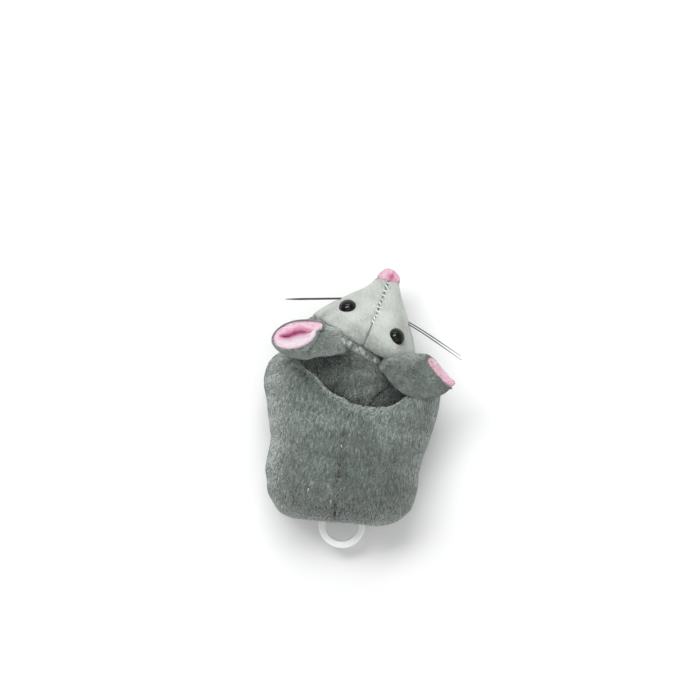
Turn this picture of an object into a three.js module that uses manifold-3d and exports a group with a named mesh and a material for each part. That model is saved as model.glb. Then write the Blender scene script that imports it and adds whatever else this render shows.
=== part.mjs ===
// Plush mouse with a pull-cord shaker inside, lying on its belly.
// Millimetres. +X is the toy's right seen from above, +Y points to the nose, +Z is up.
// The origin lies on the flat of the belly, below the mechanism.
import * as THREE from "three";
import { mergeVertices } from "three/addons/utils/BufferGeometryUtils.js";
import Module from "manifold-3d";

const wasm = await Module();
wasm.setup();

// Fits and allowances shared by all pieces
const seatGap = 0.3;
const pinPlay = 0.06;
const endPlay = 0.3;
const pressGap = 0.1;
const cutOverrun = 2;
const skin = 2.4;
const flatDepth = 0.5;

// Gear train: drum gear to idler pinion, idler wheel to weight pinion
const gearModule = 0.7;
const drumTeeth = 28;
const wheelTeeth = 24;
const pinionTeeth = 9;
const pressureAngle = THREE.MathUtils.degToRad(25);
const addendumShare = 0.9;
const dedendumShare = 1.15;
const backlashShare = 0.14;
const addendum = gearModule * addendumShare;
const dedendum = gearModule * dedendumShare;
const backlash = gearModule * backlashShare;
const drumTip = gearModule * drumTeeth / 2 + addendum;
const wheelTip = gearModule * wheelTeeth / 2 + addendum;

// Cord, its winding and the drum that it lies on
const cordDiameter = 0.9;
const windingDepth = 1.8;
const spoolCore = 6.1;
const barrelRadius = 9.1;
const barrelWall = 1;
const spigotDepth = 0.8;
const spigotWall = 0.8;
const windingRadius = spoolCore + windingDepth;

// Steel pins
const arborRadius = 1.5;
const pinRadius = 1;

// Where the three axes stand, seen from above
const outletX = 3.3;
const drumY = -7;
const idlerBearing = THREE.MathUtils.degToRad(81);
const weightBearing = THREE.MathUtils.degToRad(4);
const sweepGap = 1;
const drumAt = new THREE.Vector2(outletX - windingRadius + cordDiameter / 2, drumY);
const idlerAt = stepFrom(drumAt, gearModule * (drumTeeth + pinionTeeth) / 2, idlerBearing);
const weightAt = stepFrom(idlerAt, gearModule * (wheelTeeth + pinionTeeth) / 2, weightBearing);
const weightRadius = drumAt.distanceTo(weightAt) - drumTip - sweepGap;

// Levels of the mechanism, from the belly up
const bellyPadding = 3;
const caseWall = 1.4;
const flangeHeight = 0.6;
const grooveHeight = 2.6;
const webHeight = 0.8;
const springHeight = 4.2;
const gearHeight = 1.8;
const wheelHeight = 1.6;
const caseBottom = skin + bellyPadding;
const floorZ = caseBottom + caseWall;
const flangeZ = floorZ + endPlay;
const grooveZ = flangeZ + flangeHeight;
const webZ = grooveZ + grooveHeight;
const barrelZ = webZ + webHeight;
const springZ = barrelZ + endPlay;
const gearZ = springZ + springHeight + endPlay + spigotDepth;
const wheelZ = gearZ + gearHeight + endPlay;
const ceilingZ = wheelZ + wheelHeight + endPlay;
const caseTop = ceilingZ + caseWall;
const cordZ = grooveZ + grooveHeight / 2;

// The case follows the three circles swept in it, with its screws in lugs outside the wall
const sweeps = [
  { at: drumAt, radius: drumTip + sweepGap },
  { at: weightAt, radius: weightRadius + sweepGap },
  { at: idlerAt, radius: wheelTip + sweepGap },
];
const lugRadius = 2.6;
const lugReach = 1.4;
const lugBearings = [[0, 150], [0, 332], [1, 70], [1, 340]];
const splitShare = 0.5;
const splitZ = caseBottom + (caseTop - caseBottom) * splitShare;
const caseSide = (axis, sign) => sign * (caseWall + Math.max(...sweeps.map(
  ({ at, radius }) => sign * at[axis] + radius)));
const caseLow = new THREE.Vector2(caseSide("x", -1), caseSide("y", -1));
const caseHigh = new THREE.Vector2(caseSide("x", 1), caseSide("y", 1));
const caseHalf = caseHigh.clone().sub(caseLow).divideScalar(2);
const caseAt = caseHigh.clone().add(caseLow).divideScalar(2);

// Cord outlet and pull ring
const bushSleeve = 1.7;
const bushFlange = 2.6;
const bushFlangeDepth = 0.8;
const bushLip = 0.5;
const ringRadius = 8.85;
const ringBand = 2.8;
const ringThickness = 2.2;
const knotRadius = 1.3;
const slotGap = 0.7;
const outletY = caseLow.y;
const ringY = outletY - bushFlangeDepth - seatGap - ringRadius;

// Plush body: a full bag around the case, wider at the shoulders than at the hips
const sidePadding = 14.6;
const endPadding = 12.7;
const roofPadding = 16.2;
const waistShare = 0.47;
const bodyShift = new THREE.Vector2(0.3, 3.8);
const bodyHalf = new THREE.Vector2(caseHalf.x + sidePadding, caseHalf.y + endPadding);
const bodyAt = caseAt.clone().add(bodyShift);
const bodyTop = caseTop + roofPadding;
const bodyWaist = bodyTop * waistShare;
const bellySeamShare = 0.34;
const bellySeam = bodyTop * bellySeamShare;
const seamShift = -1.6;
const seamX = bodyAt.x + seamShift;
const bodyOutlineShares = [
  [0.07, -1], [0.46, -0.98], [0.72, -0.86], [0.85, -0.59], [0.87, -0.18], [0.94, 0.18],
  [1, 0.49], [0.96, 0.78], [0.73, 0.97], [0.25, 1.03], [-0.3, 1.04], [-0.72, 1.02],
  [-0.95, 0.89], [-1.02, 0.63], [-0.95, 0.32], [-0.87, -0.08], [-0.89, -0.43], [-0.8, -0.78],
  [-0.56, -0.97],
];

// Collar: the front edge of the back, which folds over the neck
const collarShares = [
  [-0.74, 1.1], [-0.63, 0.93], [-0.45, 0.75], [-0.26, 0.58], [-0.09, 0.5], [0.08, 0.44],
  [0.23, 0.43], [0.38, 0.46], [0.5, 0.52], [0.62, 0.63], [0.78, 0.83], [0.86, 1.1],
];
const collarRoll = 4;
const neckFloor = caseTop + seatGap + skin;

// Head, turned a little to the right and pointing its nose down
const headHalfWidth = 21.5;
const headLength = 31.8;
const headHeight = 42;
const headStandoff = 4.6;
const headShiftX = 1.7;
const headTurn = THREE.MathUtils.degToRad(-18);
const headSectionShares = [
  { along: -0.5, width: 0.76, top: 0.72, middle: 0.4, bottom: 0.12, fullness: 3.6 },
  { along: -0.25, width: 0.88, top: 0.75, middle: 0.4, bottom: 0.1, fullness: 3.6 },
  { along: -0.1, width: 0.96, top: 0.83, middle: 0.4, bottom: 0.09, fullness: 3 },
  { along: -0.02, width: 1, top: 0.97, middle: 0.42, bottom: 0.09, fullness: 2.3 },
  { along: 0.05, width: 0.99, top: 1, middle: 0.43, bottom: 0.09, fullness: 2.2 },
  { along: 0.16, width: 0.93, top: 0.965, middle: 0.44, bottom: 0.11, fullness: 2.2 },
  { along: 0.32, width: 0.79, top: 0.87, middle: 0.45, bottom: 0.16, fullness: 2.2 },
  { along: 0.53, width: 0.575, top: 0.74, middle: 0.465, bottom: 0.235, fullness: 2.2 },
  { along: 0.7, width: 0.385, top: 0.65, middle: 0.475, bottom: 0.3, fullness: 2.2 },
  { along: 0.86, width: 0.225, top: 0.585, middle: 0.48, bottom: 0.375, fullness: 2.2 },
  { along: 0.95, width: 0.14, top: 0.54, middle: 0.48, bottom: 0.42, fullness: 2.2 },
];
const creaseShare = 0.01;
const noseShare = 0.85;
const cheekSeamShares = [0.36, 0.44];
const noseBend = 2.2;
const noseRadius = 4.4;
const noseLengthShare = 1.05;

// Eyes on shanks, locked by washers inside the head
const eyeRadius = 3;
const eyeDomeShare = 0.95;
const eyeSink = 0.4;
const shankRadius = 1.1;
const shankLength = 6;
const washerRadius = 3.8;
const washerThickness = 1;
const eyeStepShare = 0.05;
const eyes = {
  left: { alongShare: 0.375, angle: THREE.MathUtils.degToRad(134) },
  right: { alongShare: 0.29, angle: THREE.MathUtils.degToRad(56) },
};

// Whiskers: two filaments through the snout, places as shares of the head's half width and height
const whiskerDiameter = 0.35;
const whiskerRouteShares = {
  front_whisker: [
    [-1.57, 0.22, 0.62], [-1.13, 0.43, 0.56], [-0.7, 0.635, 0.5], [-0.45, 0.75, 0.48], [0.58, 0.74, 0.5],
    [1.63, 0.58, 0.6],
  ],
  rear_whisker: [
    [-1.57, 0.2, 0.7], [-1.13, 0.41, 0.63], [-0.7, 0.615, 0.56], [-0.45, 0.73, 0.54], [0.6, 0.7, 0.56],
    [1.67, 0.52, 0.66],
  ],
};

// Ears: folded horns on a bent spine, places as shares of the head's half width and height
const earHalfLong = 9.8;
const earHalfShort = 6.2;
const earWall = 1.5;
const liningThickness = 0.9;
const dishShares = [[0.66, 0.4, 0.4], [0.74, 0.7, 0.7], [0.86, 0.9, 0.92], [1, 1, 1]];
const foldShares = [[0.68, 0.3, 0.1], [0.77, 0.64, 0.26], [0.88, 0.86, 0.66], [1, 1, 1]];
const ears = {
  left: {
    baseShares: [-0.35, -0.02, 0.88],
    bendShares: [-1.035, -0.375, 0.6],
    mouthShares: [-1.136, -0.311, 0.99],
    longShares: [0.8, 0.6, 0],
    sizeShares: [1, 1],
    hornShares: [
      [0, 0.45, 0.62], [0.12, 0.55, 0.85], [0.3, 0.66, 1.03], [0.5, 0.8, 1.1], [0.7, 0.92, 1.08],
      [0.88, 1, 1.04], [1, 1, 1],
    ],
  },
  right: {
    baseShares: [0.449, -0.079, 0.88],
    bendShares: [1.195, -0.194, 0.74],
    mouthShares: [1.354, 0.19, 0.84],
    longShares: [-0.82, 0.575, 0.3],
    sizeShares: [0.77, 0.9],
    hornShares: [
      [0, 0.58, 0.76], [0.15, 0.86, 0.98], [0.35, 1.12, 1.1], [0.55, 1.2, 1.12], [0.75, 1.14, 1.09],
      [0.9, 1.07, 1.05], [1, 1, 1],
    ],
  },
};

// Resolution of the curved solids
const bodySides = 32;
const bodyRings = 10;
const poleShare = 0.94;
const headSides = 24;
const earSides = 16;

// Places in the head's own directions: right, forward and up
const headAt = new THREE.Vector3(bodyAt.x + headShiftX, bodyAt.y + bodyHalf.y + headStandoff, 0);
const headFrame = new THREE.Matrix4().makeRotationZ(headTurn).setPosition(headAt);
const reach = 2 * (bodyHalf.y + headLength + bodyTop);

function stepFrom(point, distance, bearing) {
  return new THREE.Vector2(Math.cos(bearing), Math.sin(bearing)).multiplyScalar(distance).add(point);
}

function solidOf(geometry) {
  const bare = geometry.clone();
  bare.deleteAttribute("normal");
  bare.deleteAttribute("uv");
  const merged = mergeVertices(bare);
  const vertProperties = new Float32Array(merged.attributes.position.array);
  const triVerts = new Uint32Array(merged.index.array);
  return new wasm.Manifold(new wasm.Mesh({ numProp: 3, vertProperties, triVerts }));
}

function geometryOf(solid) {
  const mesh = solid.getMesh();
  const geometry = new THREE.BufferGeometry();
  geometry.setAttribute("position", new THREE.BufferAttribute(new Float32Array(mesh.vertProperties), 3));
  geometry.setIndex(new THREE.BufferAttribute(new Uint32Array(mesh.triVerts), 1));
  return geometry;
}

// A closed skin over rings of equal count, with a fan over each end
function loft(rings) {
  const count = rings[0].length;
  const points = [...rings.flat(), centreOf(rings[0]), centreOf(rings[rings.length - 1])];
  const first = points.length - 2;
  const last = points.length - 1;
  const index = [];
  for (let i = 0; i < count; i++) {
    const j = (i + 1) % count;
    index.push(first, j, i);
    for (let k = 0; k < rings.length - 1; k++) {
      const a = k * count;
      const b = a + count;
      index.push(a + i, a + j, b + j, a + i, b + j, b + i);
    }
    const end = (rings.length - 1) * count;
    index.push(last, end + i, end + j);
  }
  if (volumeOf(points, index) < 0) {
    index.reverse();
  }
  const geometry = new THREE.BufferGeometry().setFromPoints(points);
  geometry.setIndex(index);
  return geometry;
}

function centreOf(ring) {
  return ring.reduce((sum, point) => sum.add(point), new THREE.Vector3()).divideScalar(ring.length);
}

function volumeOf(points, index) {
  let volume = 0;
  for (let i = 0; i < index.length; i += 3) {
    const [a, b, c] = [points[index[i]], points[index[i + 1]], points[index[i + 2]]];
    volume += a.dot(b.clone().cross(c));
  }
  return volume;
}

function block(low, high) {
  const size = new THREE.Vector3().subVectors(high, low);
  const middle = new THREE.Vector3().addVectors(low, high).divideScalar(2);
  return new THREE.BoxGeometry(size.x, size.y, size.z).translate(middle.x, middle.y, middle.z);
}

function rod(radius, bottom, top, segments = 24) {
  const height = top - bottom;
  return new THREE.CylinderGeometry(radius, radius, height, segments)
    .rotateX(Math.PI / 2).translate(0, 0, bottom + height / 2);
}

function upright(geometry, place) {
  return geometry.translate(place.x, place.y, 0);
}

function extrude(shape, bottom, top, curveSegments = 6) {
  return new THREE.ExtrudeGeometry(shape, { depth: top - bottom, bevelEnabled: false, curveSegments })
    .translate(0, 0, bottom);
}

function turned(profile, segments) {
  const points = profile.map(([radius, z]) => new THREE.Vector2(radius, z));
  return new THREE.LatheGeometry([...points, points[0]], segments).rotateX(Math.PI / 2);
}

// A bore's corners lie outside its true radius, so that its flats still clear the pin
function boreRadius(pin, play, segments) {
  return (pin + play) / Math.cos(Math.PI / segments);
}

function signedPower(value, power) {
  return Math.sign(value) * Math.abs(value) ** power;
}

// Involute gear outline with a straight flank below the base circle
function gearShape(teeth, turn, bore) {
  const pitch = gearModule * teeth / 2;
  const base = pitch * Math.cos(pressureAngle);
  const root = pitch - dedendum;
  const involute = (angle) => Math.tan(angle) - angle;
  const halfAngle = (radius) => {
    const rolled = radius > base ? involute(Math.acos(base / radius)) : 0;
    return Math.PI / (2 * teeth) - backlash / (2 * pitch) + involute(pressureAngle) - rolled;
  };
  const flank = [root, base, pitch, pitch + addendum].filter((radius, index) => index !== 1 || radius > root);
  const outline = [];
  for (let tooth = 0; tooth < teeth; tooth++) {
    const middle = turn + 2 * Math.PI * tooth / teeth;
    const rising = flank.map((radius) => [radius, middle - halfAngle(radius)]);
    const falling = flank.map((radius) => [radius, middle + halfAngle(radius)]).reverse();
    outline.push(...rising, ...falling);
  }
  const shape = new THREE.Shape(outline.map(([radius, angle]) =>
    new THREE.Vector2(Math.cos(angle), Math.sin(angle)).multiplyScalar(radius)));
  const hole = new THREE.Path().absarc(0, 0, bore, 0, 2 * Math.PI, true);
  shape.holes.push(hole);
  return shape;
}

// The bag's outer form, grown outwards by a distance
function bodyForm(grow) {
  const outline = new THREE.CatmullRomCurve3(bodyOutlineShares.map(([x, y]) =>
    new THREE.Vector3(x * bodyHalf.x, y * bodyHalf.y, 0)), true).getPoints(bodySides).slice(0, -1);
  const rings = [];
  for (let ring = 0; ring <= bodyRings; ring++) {
    const angle = Math.PI * (ring / bodyRings - 0.5) * poleShare;
    const fullness = angle > 0 ? 2.5 : 3;
    const spread = Math.cos(angle) ** (2 / fullness);
    const rise = signedPower(Math.sin(angle), 2 / fullness);
    const height = angle > 0 ? bodyTop - bodyWaist : bodyWaist + flatDepth;
    rings.push(outline.map((point) => {
      const out = point.clone().setLength((point.length() + grow) * spread);
      return new THREE.Vector3(bodyAt.x + out.x, bodyAt.y + out.y, bodyWaist + rise * (height + grow));
    }));
  }
  return solidOf(loft(rings));
}

// The hollow in front of the collar, opening out towards the top
function neckHollow(grow) {
  const edge = new THREE.CatmullRomCurve3(collarShares.map(([x, y]) =>
    new THREE.Vector3(bodyAt.x + x * bodyHalf.x, bodyAt.y + y * bodyHalf.y, 0))).getPoints(24);
  const ring = (roll, z) => {
    const edgePoints = edge.map((point) => new THREE.Vector3(point.x, point.y - roll - grow, z));
    const [start, end] = [edgePoints[0], edgePoints[edgePoints.length - 1]];
    return [...edgePoints, new THREE.Vector3(end.x, reach, z), new THREE.Vector3(start.x, reach, z)];
  };
  return solidOf(loft([
    ring(-collarRoll, neckFloor - grow),
    ring(0, (neckFloor + bodyTop) / 2),
    ring(collarRoll / 2, bodyTop),
    ring(collarRoll, bodyTop + collarRoll),
  ]));
}

// The head's outer form, grown outwards by a distance and running on at the open neck
function headForm(grow) {
  const last = headSectionShares.length - 1;
  const rings = headSectionShares.map((section, index) => {
    const neckEnd = index === 0 ? -Math.abs(grow) : 0;
    const end = index === last ? grow : neckEnd;
    const ring = [];
    for (let side = 0; side < headSides; side++) {
      ring.push(headPoint(section, 2 * Math.PI * side / headSides, grow, end));
    }
    return ring;
  });
  return solidOf(loft(rings).applyMatrix4(headFrame));
}

// A point on the head's skin in its own directions; angle 0 is its right side and a quarter turn its top
function headPoint(section, angle, grow, end = 0) {
  const { fullness } = section;
  const halfWidth = Math.max(section.width * headHalfWidth + grow, seatGap);
  const x = signedPower(Math.cos(angle), 2 / fullness) * halfWidth;
  const middle = section.middle * headHeight;
  const edge = (angle % (2 * Math.PI) < Math.PI ? section.top : section.bottom) * headHeight;
  const rise = Math.max(Math.abs(edge - middle) + grow, seatGap);
  const z = middle + signedPower(Math.sin(angle), 2 / fullness) * rise;
  const bend = noseBend * Math.max(section.along, 0) ** 2;
  return new THREE.Vector3(x - bend, section.along * headLength + end, z);
}

// The head's section anywhere between the named ones
function sectionAt(along) {
  const next = headSectionShares.findIndex((section) => section.along >= along);
  const [a, b] = [headSectionShares[next - 1], headSectionShares[next]];
  const t = (along - a.along) / (b.along - a.along);
  const mixed = Object.keys(a).map((key) => [key, THREE.MathUtils.lerp(a[key], b[key], t)]);
  return Object.fromEntries(mixed);
}

function headPlace([right, forward, up]) {
  const place = new THREE.Vector3(right * headHalfWidth, forward * headHalfWidth, up * headHeight);
  return place.applyMatrix4(headFrame);
}

// Half of the head's space, cut along its length, width or height
function headHalf(low, high) {
  const corner = (sides, sign) => new THREE.Vector3(...sides.map((side) => side ?? sign * reach));
  return solidOf(block(corner(low, -1), corner(high, 1)).applyMatrix4(headFrame));
}

// A stretch of an ear's horn: sections on its bent spine, from shares given as place, long and short size,
// drawn in by an inset and moved towards the mouth by a depth
function earForm(ear, shares, inset, depth, overrun) {
  const spine = new THREE.QuadraticBezierCurve3(
    headPlace(ear.baseShares), headPlace(ear.bendShares), headPlace(ear.mouthShares));
  const long = new THREE.Vector3(...ear.longShares).transformDirection(headFrame);
  const [longSize, shortSize] = ear.sizeShares;
  const [halfLong, halfShort] = [longSize * earHalfLong - inset, shortSize * earHalfShort - inset];
  const shift = depth / spine.getLength();
  const rings = shares.map(([place, longShare, shortShare]) => earRing(
    spine, Math.min(place + shift, 1), long, halfLong * longShare, halfShort * shortShare, 0));
  if (overrun) {
    const [, longShare, shortShare] = shares[shares.length - 1];
    rings.push(earRing(spine, 1, long, halfLong * longShare, halfShort * shortShare, overrun));
  }
  return solidOf(loft(rings));
}

function earRing(spine, place, long, halfLong, halfShort, ahead) {
  const tangent = spine.getTangent(place);
  const middle = spine.getPoint(place).addScaledVector(tangent, ahead);
  const across = new THREE.Vector3().crossVectors(tangent, long).normalize();
  const along = new THREE.Vector3().crossVectors(across, tangent).normalize();
  const ring = [];
  for (let side = 0; side < earSides; side++) {
    const angle = 2 * Math.PI * side / earSides;
    ring.push(middle.clone()
      .addScaledVector(along, halfLong * Math.cos(angle))
      .addScaledVector(across, halfShort * Math.sin(angle)));
  }
  return ring;
}

function subtract(solid, ...cutters) {
  return cutters.reduce((left, cutter) => left.subtract(cutter), solid);
}

// Materials
const plush = (color) => new THREE.MeshStandardMaterial({ color, roughness: 0.95, metalness: 0 });
const plastic = (color, roughness) => new THREE.MeshStandardMaterial({ color, roughness, metalness: 0 });
const metal = (color, roughness) => new THREE.MeshStandardMaterial({ color, roughness, metalness: 1 });

const toy = new THREE.Group();
const mechanism = new THREE.Group();
toy.add(mechanism);

function addPiece(name, shape, material, place = new THREE.Vector3(), parent = toy) {
  const geometry = shape instanceof THREE.BufferGeometry ? shape : geometryOf(shape);
  const mesh = new THREE.Mesh(geometry, material);
  mesh.name = name;
  mesh.position.copy(place);
  parent.add(mesh);
  return mesh;
}

const axisAt = (place) => new THREE.Vector3(place.x, place.y, 0);

// Case: two halves closed by four screws in outside lugs, pins seated in floor and ceiling
const lugs = lugBearings.map(([sweep, bearing]) => stepFrom(
  sweeps[sweep].at, sweeps[sweep].radius + caseWall + lugReach, THREE.MathUtils.degToRad(bearing)));
const seatDepthShare = 0.7;
const seatDepth = caseWall * seatDepthShare;
const screwHead = 1.9;
const screwHeadHeight = 1.3;
const screwRadius = 1;
const screwLength = 11;
const lugTop = caseTop - screwHeadHeight;
const postRadius = 1.9;
const caseSteps = 7;

// The line drawn tight round the three sweeps, a distance outside them
function caseOutline(outside) {
  const shape = new THREE.Shape();
  sweeps.forEach(({ at, radius }, index) => {
    const before = sweeps[(index + 2) % 3];
    const after = sweeps[(index + 1) % 3];
    const start = tangentBearing(before, sweeps[index]);
    const end = tangentBearing(sweeps[index], after);
    const turn = (end - start + 4 * Math.PI) % (2 * Math.PI);
    shape.absarc(at.x, at.y, radius + outside, start, start + turn);
  });
  return shape;
}

function tangentBearing(from, to) {
  const line = to.at.clone().sub(from.at);
  return line.angle() - Math.acos((from.radius - to.radius) / line.length());
}

function caseRoomSolid(bottom, top) {
  return solidOf(extrude(caseOutline(0), bottom, top, caseSteps));
}

function caseHalfShell(bottom, top, roomBottom, roomTop, lugEnd) {
  let shell = solidOf(extrude(caseOutline(caseWall), bottom, top, caseSteps));
  for (const lug of lugs) {
    shell = shell.add(solidOf(upright(rod(lugRadius, bottom, lugEnd, 12), lug)));
  }
  return shell.subtract(caseRoomSolid(roomBottom, roomTop));
}

const pinSeats = [[arborRadius, drumAt], [pinRadius, idlerAt], [pinRadius, weightAt]];
let lower = caseHalfShell(caseBottom, splitZ, floorZ, splitZ + cutOverrun, splitZ);
const spoutBlock = (outside) => solidOf(block(
  new THREE.Vector3(outletX - bushFlange - outside, outletY - outside, cordZ - bushFlange - outside),
  new THREE.Vector3(outletX + bushFlange + outside, drumAt.y, cordZ + bushFlange + outside)));
lower = lower.add(spoutBlock(0).subtract(caseRoomSolid(floorZ, splitZ)));
lower = lower.add(solidOf(upright(rod(postRadius, floorZ - pressGap, gearZ - endPlay, 12), idlerAt)));
let upper = caseHalfShell(splitZ, caseTop, splitZ - cutOverrun, ceilingZ, lugTop);
for (const [radius, place] of pinSeats) {
  const seat = boreRadius(radius, pinPlay, 12);
  lower = lower.subtract(solidOf(upright(rod(seat, floorZ - seatDepth, gearZ, 12), place)));
  upper = upper.subtract(solidOf(upright(rod(seat, ceilingZ - cutOverrun, ceilingZ + seatDepth, 12), place)));
}
for (const lug of lugs) {
  const pilot = boreRadius(screwRadius, pressGap, 8);
  const pilotBottom = lugTop - screwLength - pressGap;
  lower = lower.subtract(solidOf(upright(rod(pilot, pilotBottom, splitZ + cutOverrun, 8), lug)));
  upper = upper.subtract(solidOf(upright(rod(pilot, splitZ - cutOverrun, lugTop + cutOverrun, 8), lug)));
  const headRoom = boreRadius(screwHead, seatGap, 12);
  upper = upper.subtract(solidOf(upright(rod(headRoom, lugTop, caseTop + cutOverrun, 12), lug)));
}
const outletRadius = bushSleeve + pressGap;
const outletHole = new THREE.CylinderGeometry(outletRadius, outletRadius, 2 * barrelRadius, 12)
  .translate(outletX, outletY, cordZ);
lower = lower.subtract(solidOf(outletHole));
addPiece("case_lower", lower, plastic(0xd9dcda, 0.5), undefined, mechanism);
addPiece("case_upper", upper, plastic(0xd9dcda, 0.5), undefined, mechanism);

lugs.forEach((lug, index) => {
  const shank = rod(screwRadius, lugTop - screwLength, lugTop + screwHeadHeight / 2, 8);
  const head = rod(screwHead, lugTop, lugTop + screwHeadHeight, 12);
  const slot = block(
    new THREE.Vector3(-screwHead - pressGap, -screwRadius / 4, lugTop + screwHeadHeight / 2),
    new THREE.Vector3(screwHead + pressGap, screwRadius / 4, lugTop + screwHeadHeight + cutOverrun));
  const screw = solidOf(shank).add(solidOf(head)).subtract(solidOf(slot));
  addPiece(`case_screw_${index + 1}`, screw, metal(0xb9bcc0, 0.35), axisAt(lug), mechanism);
});

// Pins: steel rods seated in both halves of the case
const pinBottom = floorZ - seatDepth + pressGap;
const pinTop = ceilingZ + seatDepth - pressGap;
const pinSteel = () => metal(0xc4c6c9, 0.3);
addPiece("drum_arbor", rod(arborRadius, pinBottom, pinTop, 16), pinSteel(), axisAt(drumAt), mechanism);
addPiece("idler_pin", rod(pinRadius, pinBottom, pinTop, 12), pinSteel(), axisAt(idlerAt), mechanism);
addPiece("weight_pin", rod(pinRadius, pinBottom, pinTop, 12), pinSteel(), axisAt(weightAt), mechanism);

// Drum: cord spool below, spring barrel above, closed by the drum gear
const drumBore = boreRadius(arborRadius, pinPlay, 24);
const spool = turned([
  [drumBore, flangeZ], [barrelRadius, flangeZ], [barrelRadius, grooveZ], [spoolCore, grooveZ],
  [spoolCore, webZ], [barrelRadius, webZ], [barrelRadius, gearZ], [barrelRadius - barrelWall, gearZ],
  [barrelRadius - barrelWall, barrelZ], [drumBore, barrelZ],
], 24);
addPiece("spring_drum", spool, plastic(0xe9e4d2, 0.45), axisAt(drumAt), mechanism);

const spigotRadius = barrelRadius - barrelWall - seatGap;
const spigot = turned([
  [spigotRadius - spigotWall, gearZ - spigotDepth], [spigotRadius, gearZ - spigotDepth],
  [spigotRadius, gearZ + gearHeight / 2], [spigotRadius - spigotWall, gearZ + gearHeight / 2],
], 20);
const drumGear = solidOf(extrude(gearShape(drumTeeth, idlerBearing, drumBore), gearZ, gearZ + gearHeight, 8))
  .add(solidOf(spigot));
addPiece("drum_gear", drumGear, plastic(0xf2efe2, 0.45), axisAt(drumAt), mechanism);

// Mainspring: a flat strip in a spiral from the arbor to the barrel's wall
const stripThickness = 0.28;
const springTurns = 4.5;
const springSteps = 60;
const springInside = arborRadius + seatGap;
const springOutside = barrelRadius - barrelWall - seatGap;

function spiralPoint(share, offset) {
  const angle = 2 * Math.PI * springTurns * share;
  const radius = THREE.MathUtils.lerp(springInside, springOutside - stripThickness, share) + offset;
  return new THREE.Vector2(Math.cos(angle), Math.sin(angle)).multiplyScalar(radius);
}

const strip = [];
for (let step = 0; step <= springSteps; step++) {
  strip.push(spiralPoint(step / springSteps, 0));
}
for (let step = springSteps; step >= 0; step--) {
  strip.push(spiralPoint(step / springSteps, stripThickness));
}
const spring = extrude(new THREE.Shape(strip), springZ, springZ + springHeight);
addPiece("mainspring", spring, metal(0x8d939b, 0.3), axisAt(drumAt), mechanism);

// Idler: pinion driven by the drum gear, wheel above it driving the weight
const idlerBore = boreRadius(pinRadius, pinPlay, 24);
const facing = (bearing, teeth) => bearing + Math.PI + Math.PI / teeth;
const idlerPinion = extrude(
  gearShape(pinionTeeth, facing(idlerBearing, pinionTeeth), idlerBore), gearZ, wheelZ, 6);
const idlerWheel = extrude(gearShape(wheelTeeth, weightBearing, idlerBore), wheelZ, wheelZ + wheelHeight, 6);
addPiece("idler_gear", solidOf(idlerPinion).add(solidOf(idlerWheel)), plastic(0xe6c34a, 0.45),
  axisAt(idlerAt), mechanism);

// Weight: half disc on the sleeve of its pinion, beside the drum
const sleeveRadius = 1.9;
const hubRadius = 3.2;
const weightTop = gearZ - endPlay;
const sleeveBore = boreRadius(pinRadius, pinPlay, 24);
const sleeve = turned([
  [sleeveBore, flangeZ], [sleeveRadius, flangeZ], [sleeveRadius, wheelZ + wheelHeight / 2],
  [sleeveBore, wheelZ + wheelHeight / 2],
], 24);
const weightPinion = solidOf(extrude(gearShape(pinionTeeth, facing(weightBearing, pinionTeeth), sleeveBore),
  wheelZ, wheelZ + wheelHeight, 6)).add(solidOf(sleeve));
addPiece("weight_pinion", weightPinion, plastic(0xe6c34a, 0.45), axisAt(weightAt), mechanism);

const sector = new THREE.Shape();
sector.absarc(0, 0, weightRadius, -Math.PI / 2, Math.PI / 2);
sector.absarc(0, 0, hubRadius, Math.PI / 2, 1.5 * Math.PI);
const weightBore = boreRadius(sleeveRadius, pressGap, 24);
sector.holes.push(new THREE.Path().absarc(0, 0, weightBore, 0, 2 * Math.PI, true));
addPiece("eccentric_weight", extrude(sector, flangeZ, weightTop, 12), metal(0x9a9c9e, 0.5),
  axisAt(weightAt), mechanism);

// Cord: the winding on the spool, and the lead through the bush to a knot in the ring
const winding = turned([
  [spoolCore + pressGap, grooveZ + pressGap], [windingRadius, grooveZ + pressGap],
  [windingRadius, webZ - pressGap], [spoolCore + pressGap, webZ - pressGap],
], 24);
addPiece("cord_winding", winding, plush(0xf1f0ea), axisAt(drumAt), mechanism);

const bushBore = cordDiameter / 2 + seatGap;
const bushEnd = caseWall + bushLip;
const bush = new THREE.LatheGeometry([
  [bushBore, -bushFlangeDepth], [bushFlange, -bushFlangeDepth], [bushFlange, 0], [bushSleeve, 0],
  [bushSleeve, bushEnd], [bushBore, bushEnd], [bushBore, -bushFlangeDepth],
].map(([radius, y]) => new THREE.Vector2(radius, y)), 16);
addPiece("cord_bush", bush, metal(0xc9a24b, 0.35), new THREE.Vector3(outletX, outletY, cordZ), mechanism);

const leadX = outletX - drumAt.x - cordDiameter / 2;
const leadStart = drumAt.y - Math.sqrt((windingRadius + seatGap) ** 2 - leadX ** 2);
const knotY = ringY + ringRadius - ringBand - seatGap - knotRadius;
const lead = new THREE.LineCurve3(
  new THREE.Vector3(outletX, leadStart, cordZ), new THREE.Vector3(outletX, knotY, cordZ));
const cordSection = new THREE.Shape().absarc(0, 0, cordDiameter / 2, 0, 2 * Math.PI);
const leadTube = new THREE.ExtrudeGeometry(cordSection,
  { steps: 6, bevelEnabled: false, curveSegments: 4, extrudePath: lead });
const knot = new THREE.SphereGeometry(knotRadius, 10, 7).translate(outletX, knotY, cordZ);
addPiece("pull_cord", solidOf(leadTube).add(solidOf(knot)), plush(0xf1f0ea));

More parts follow.
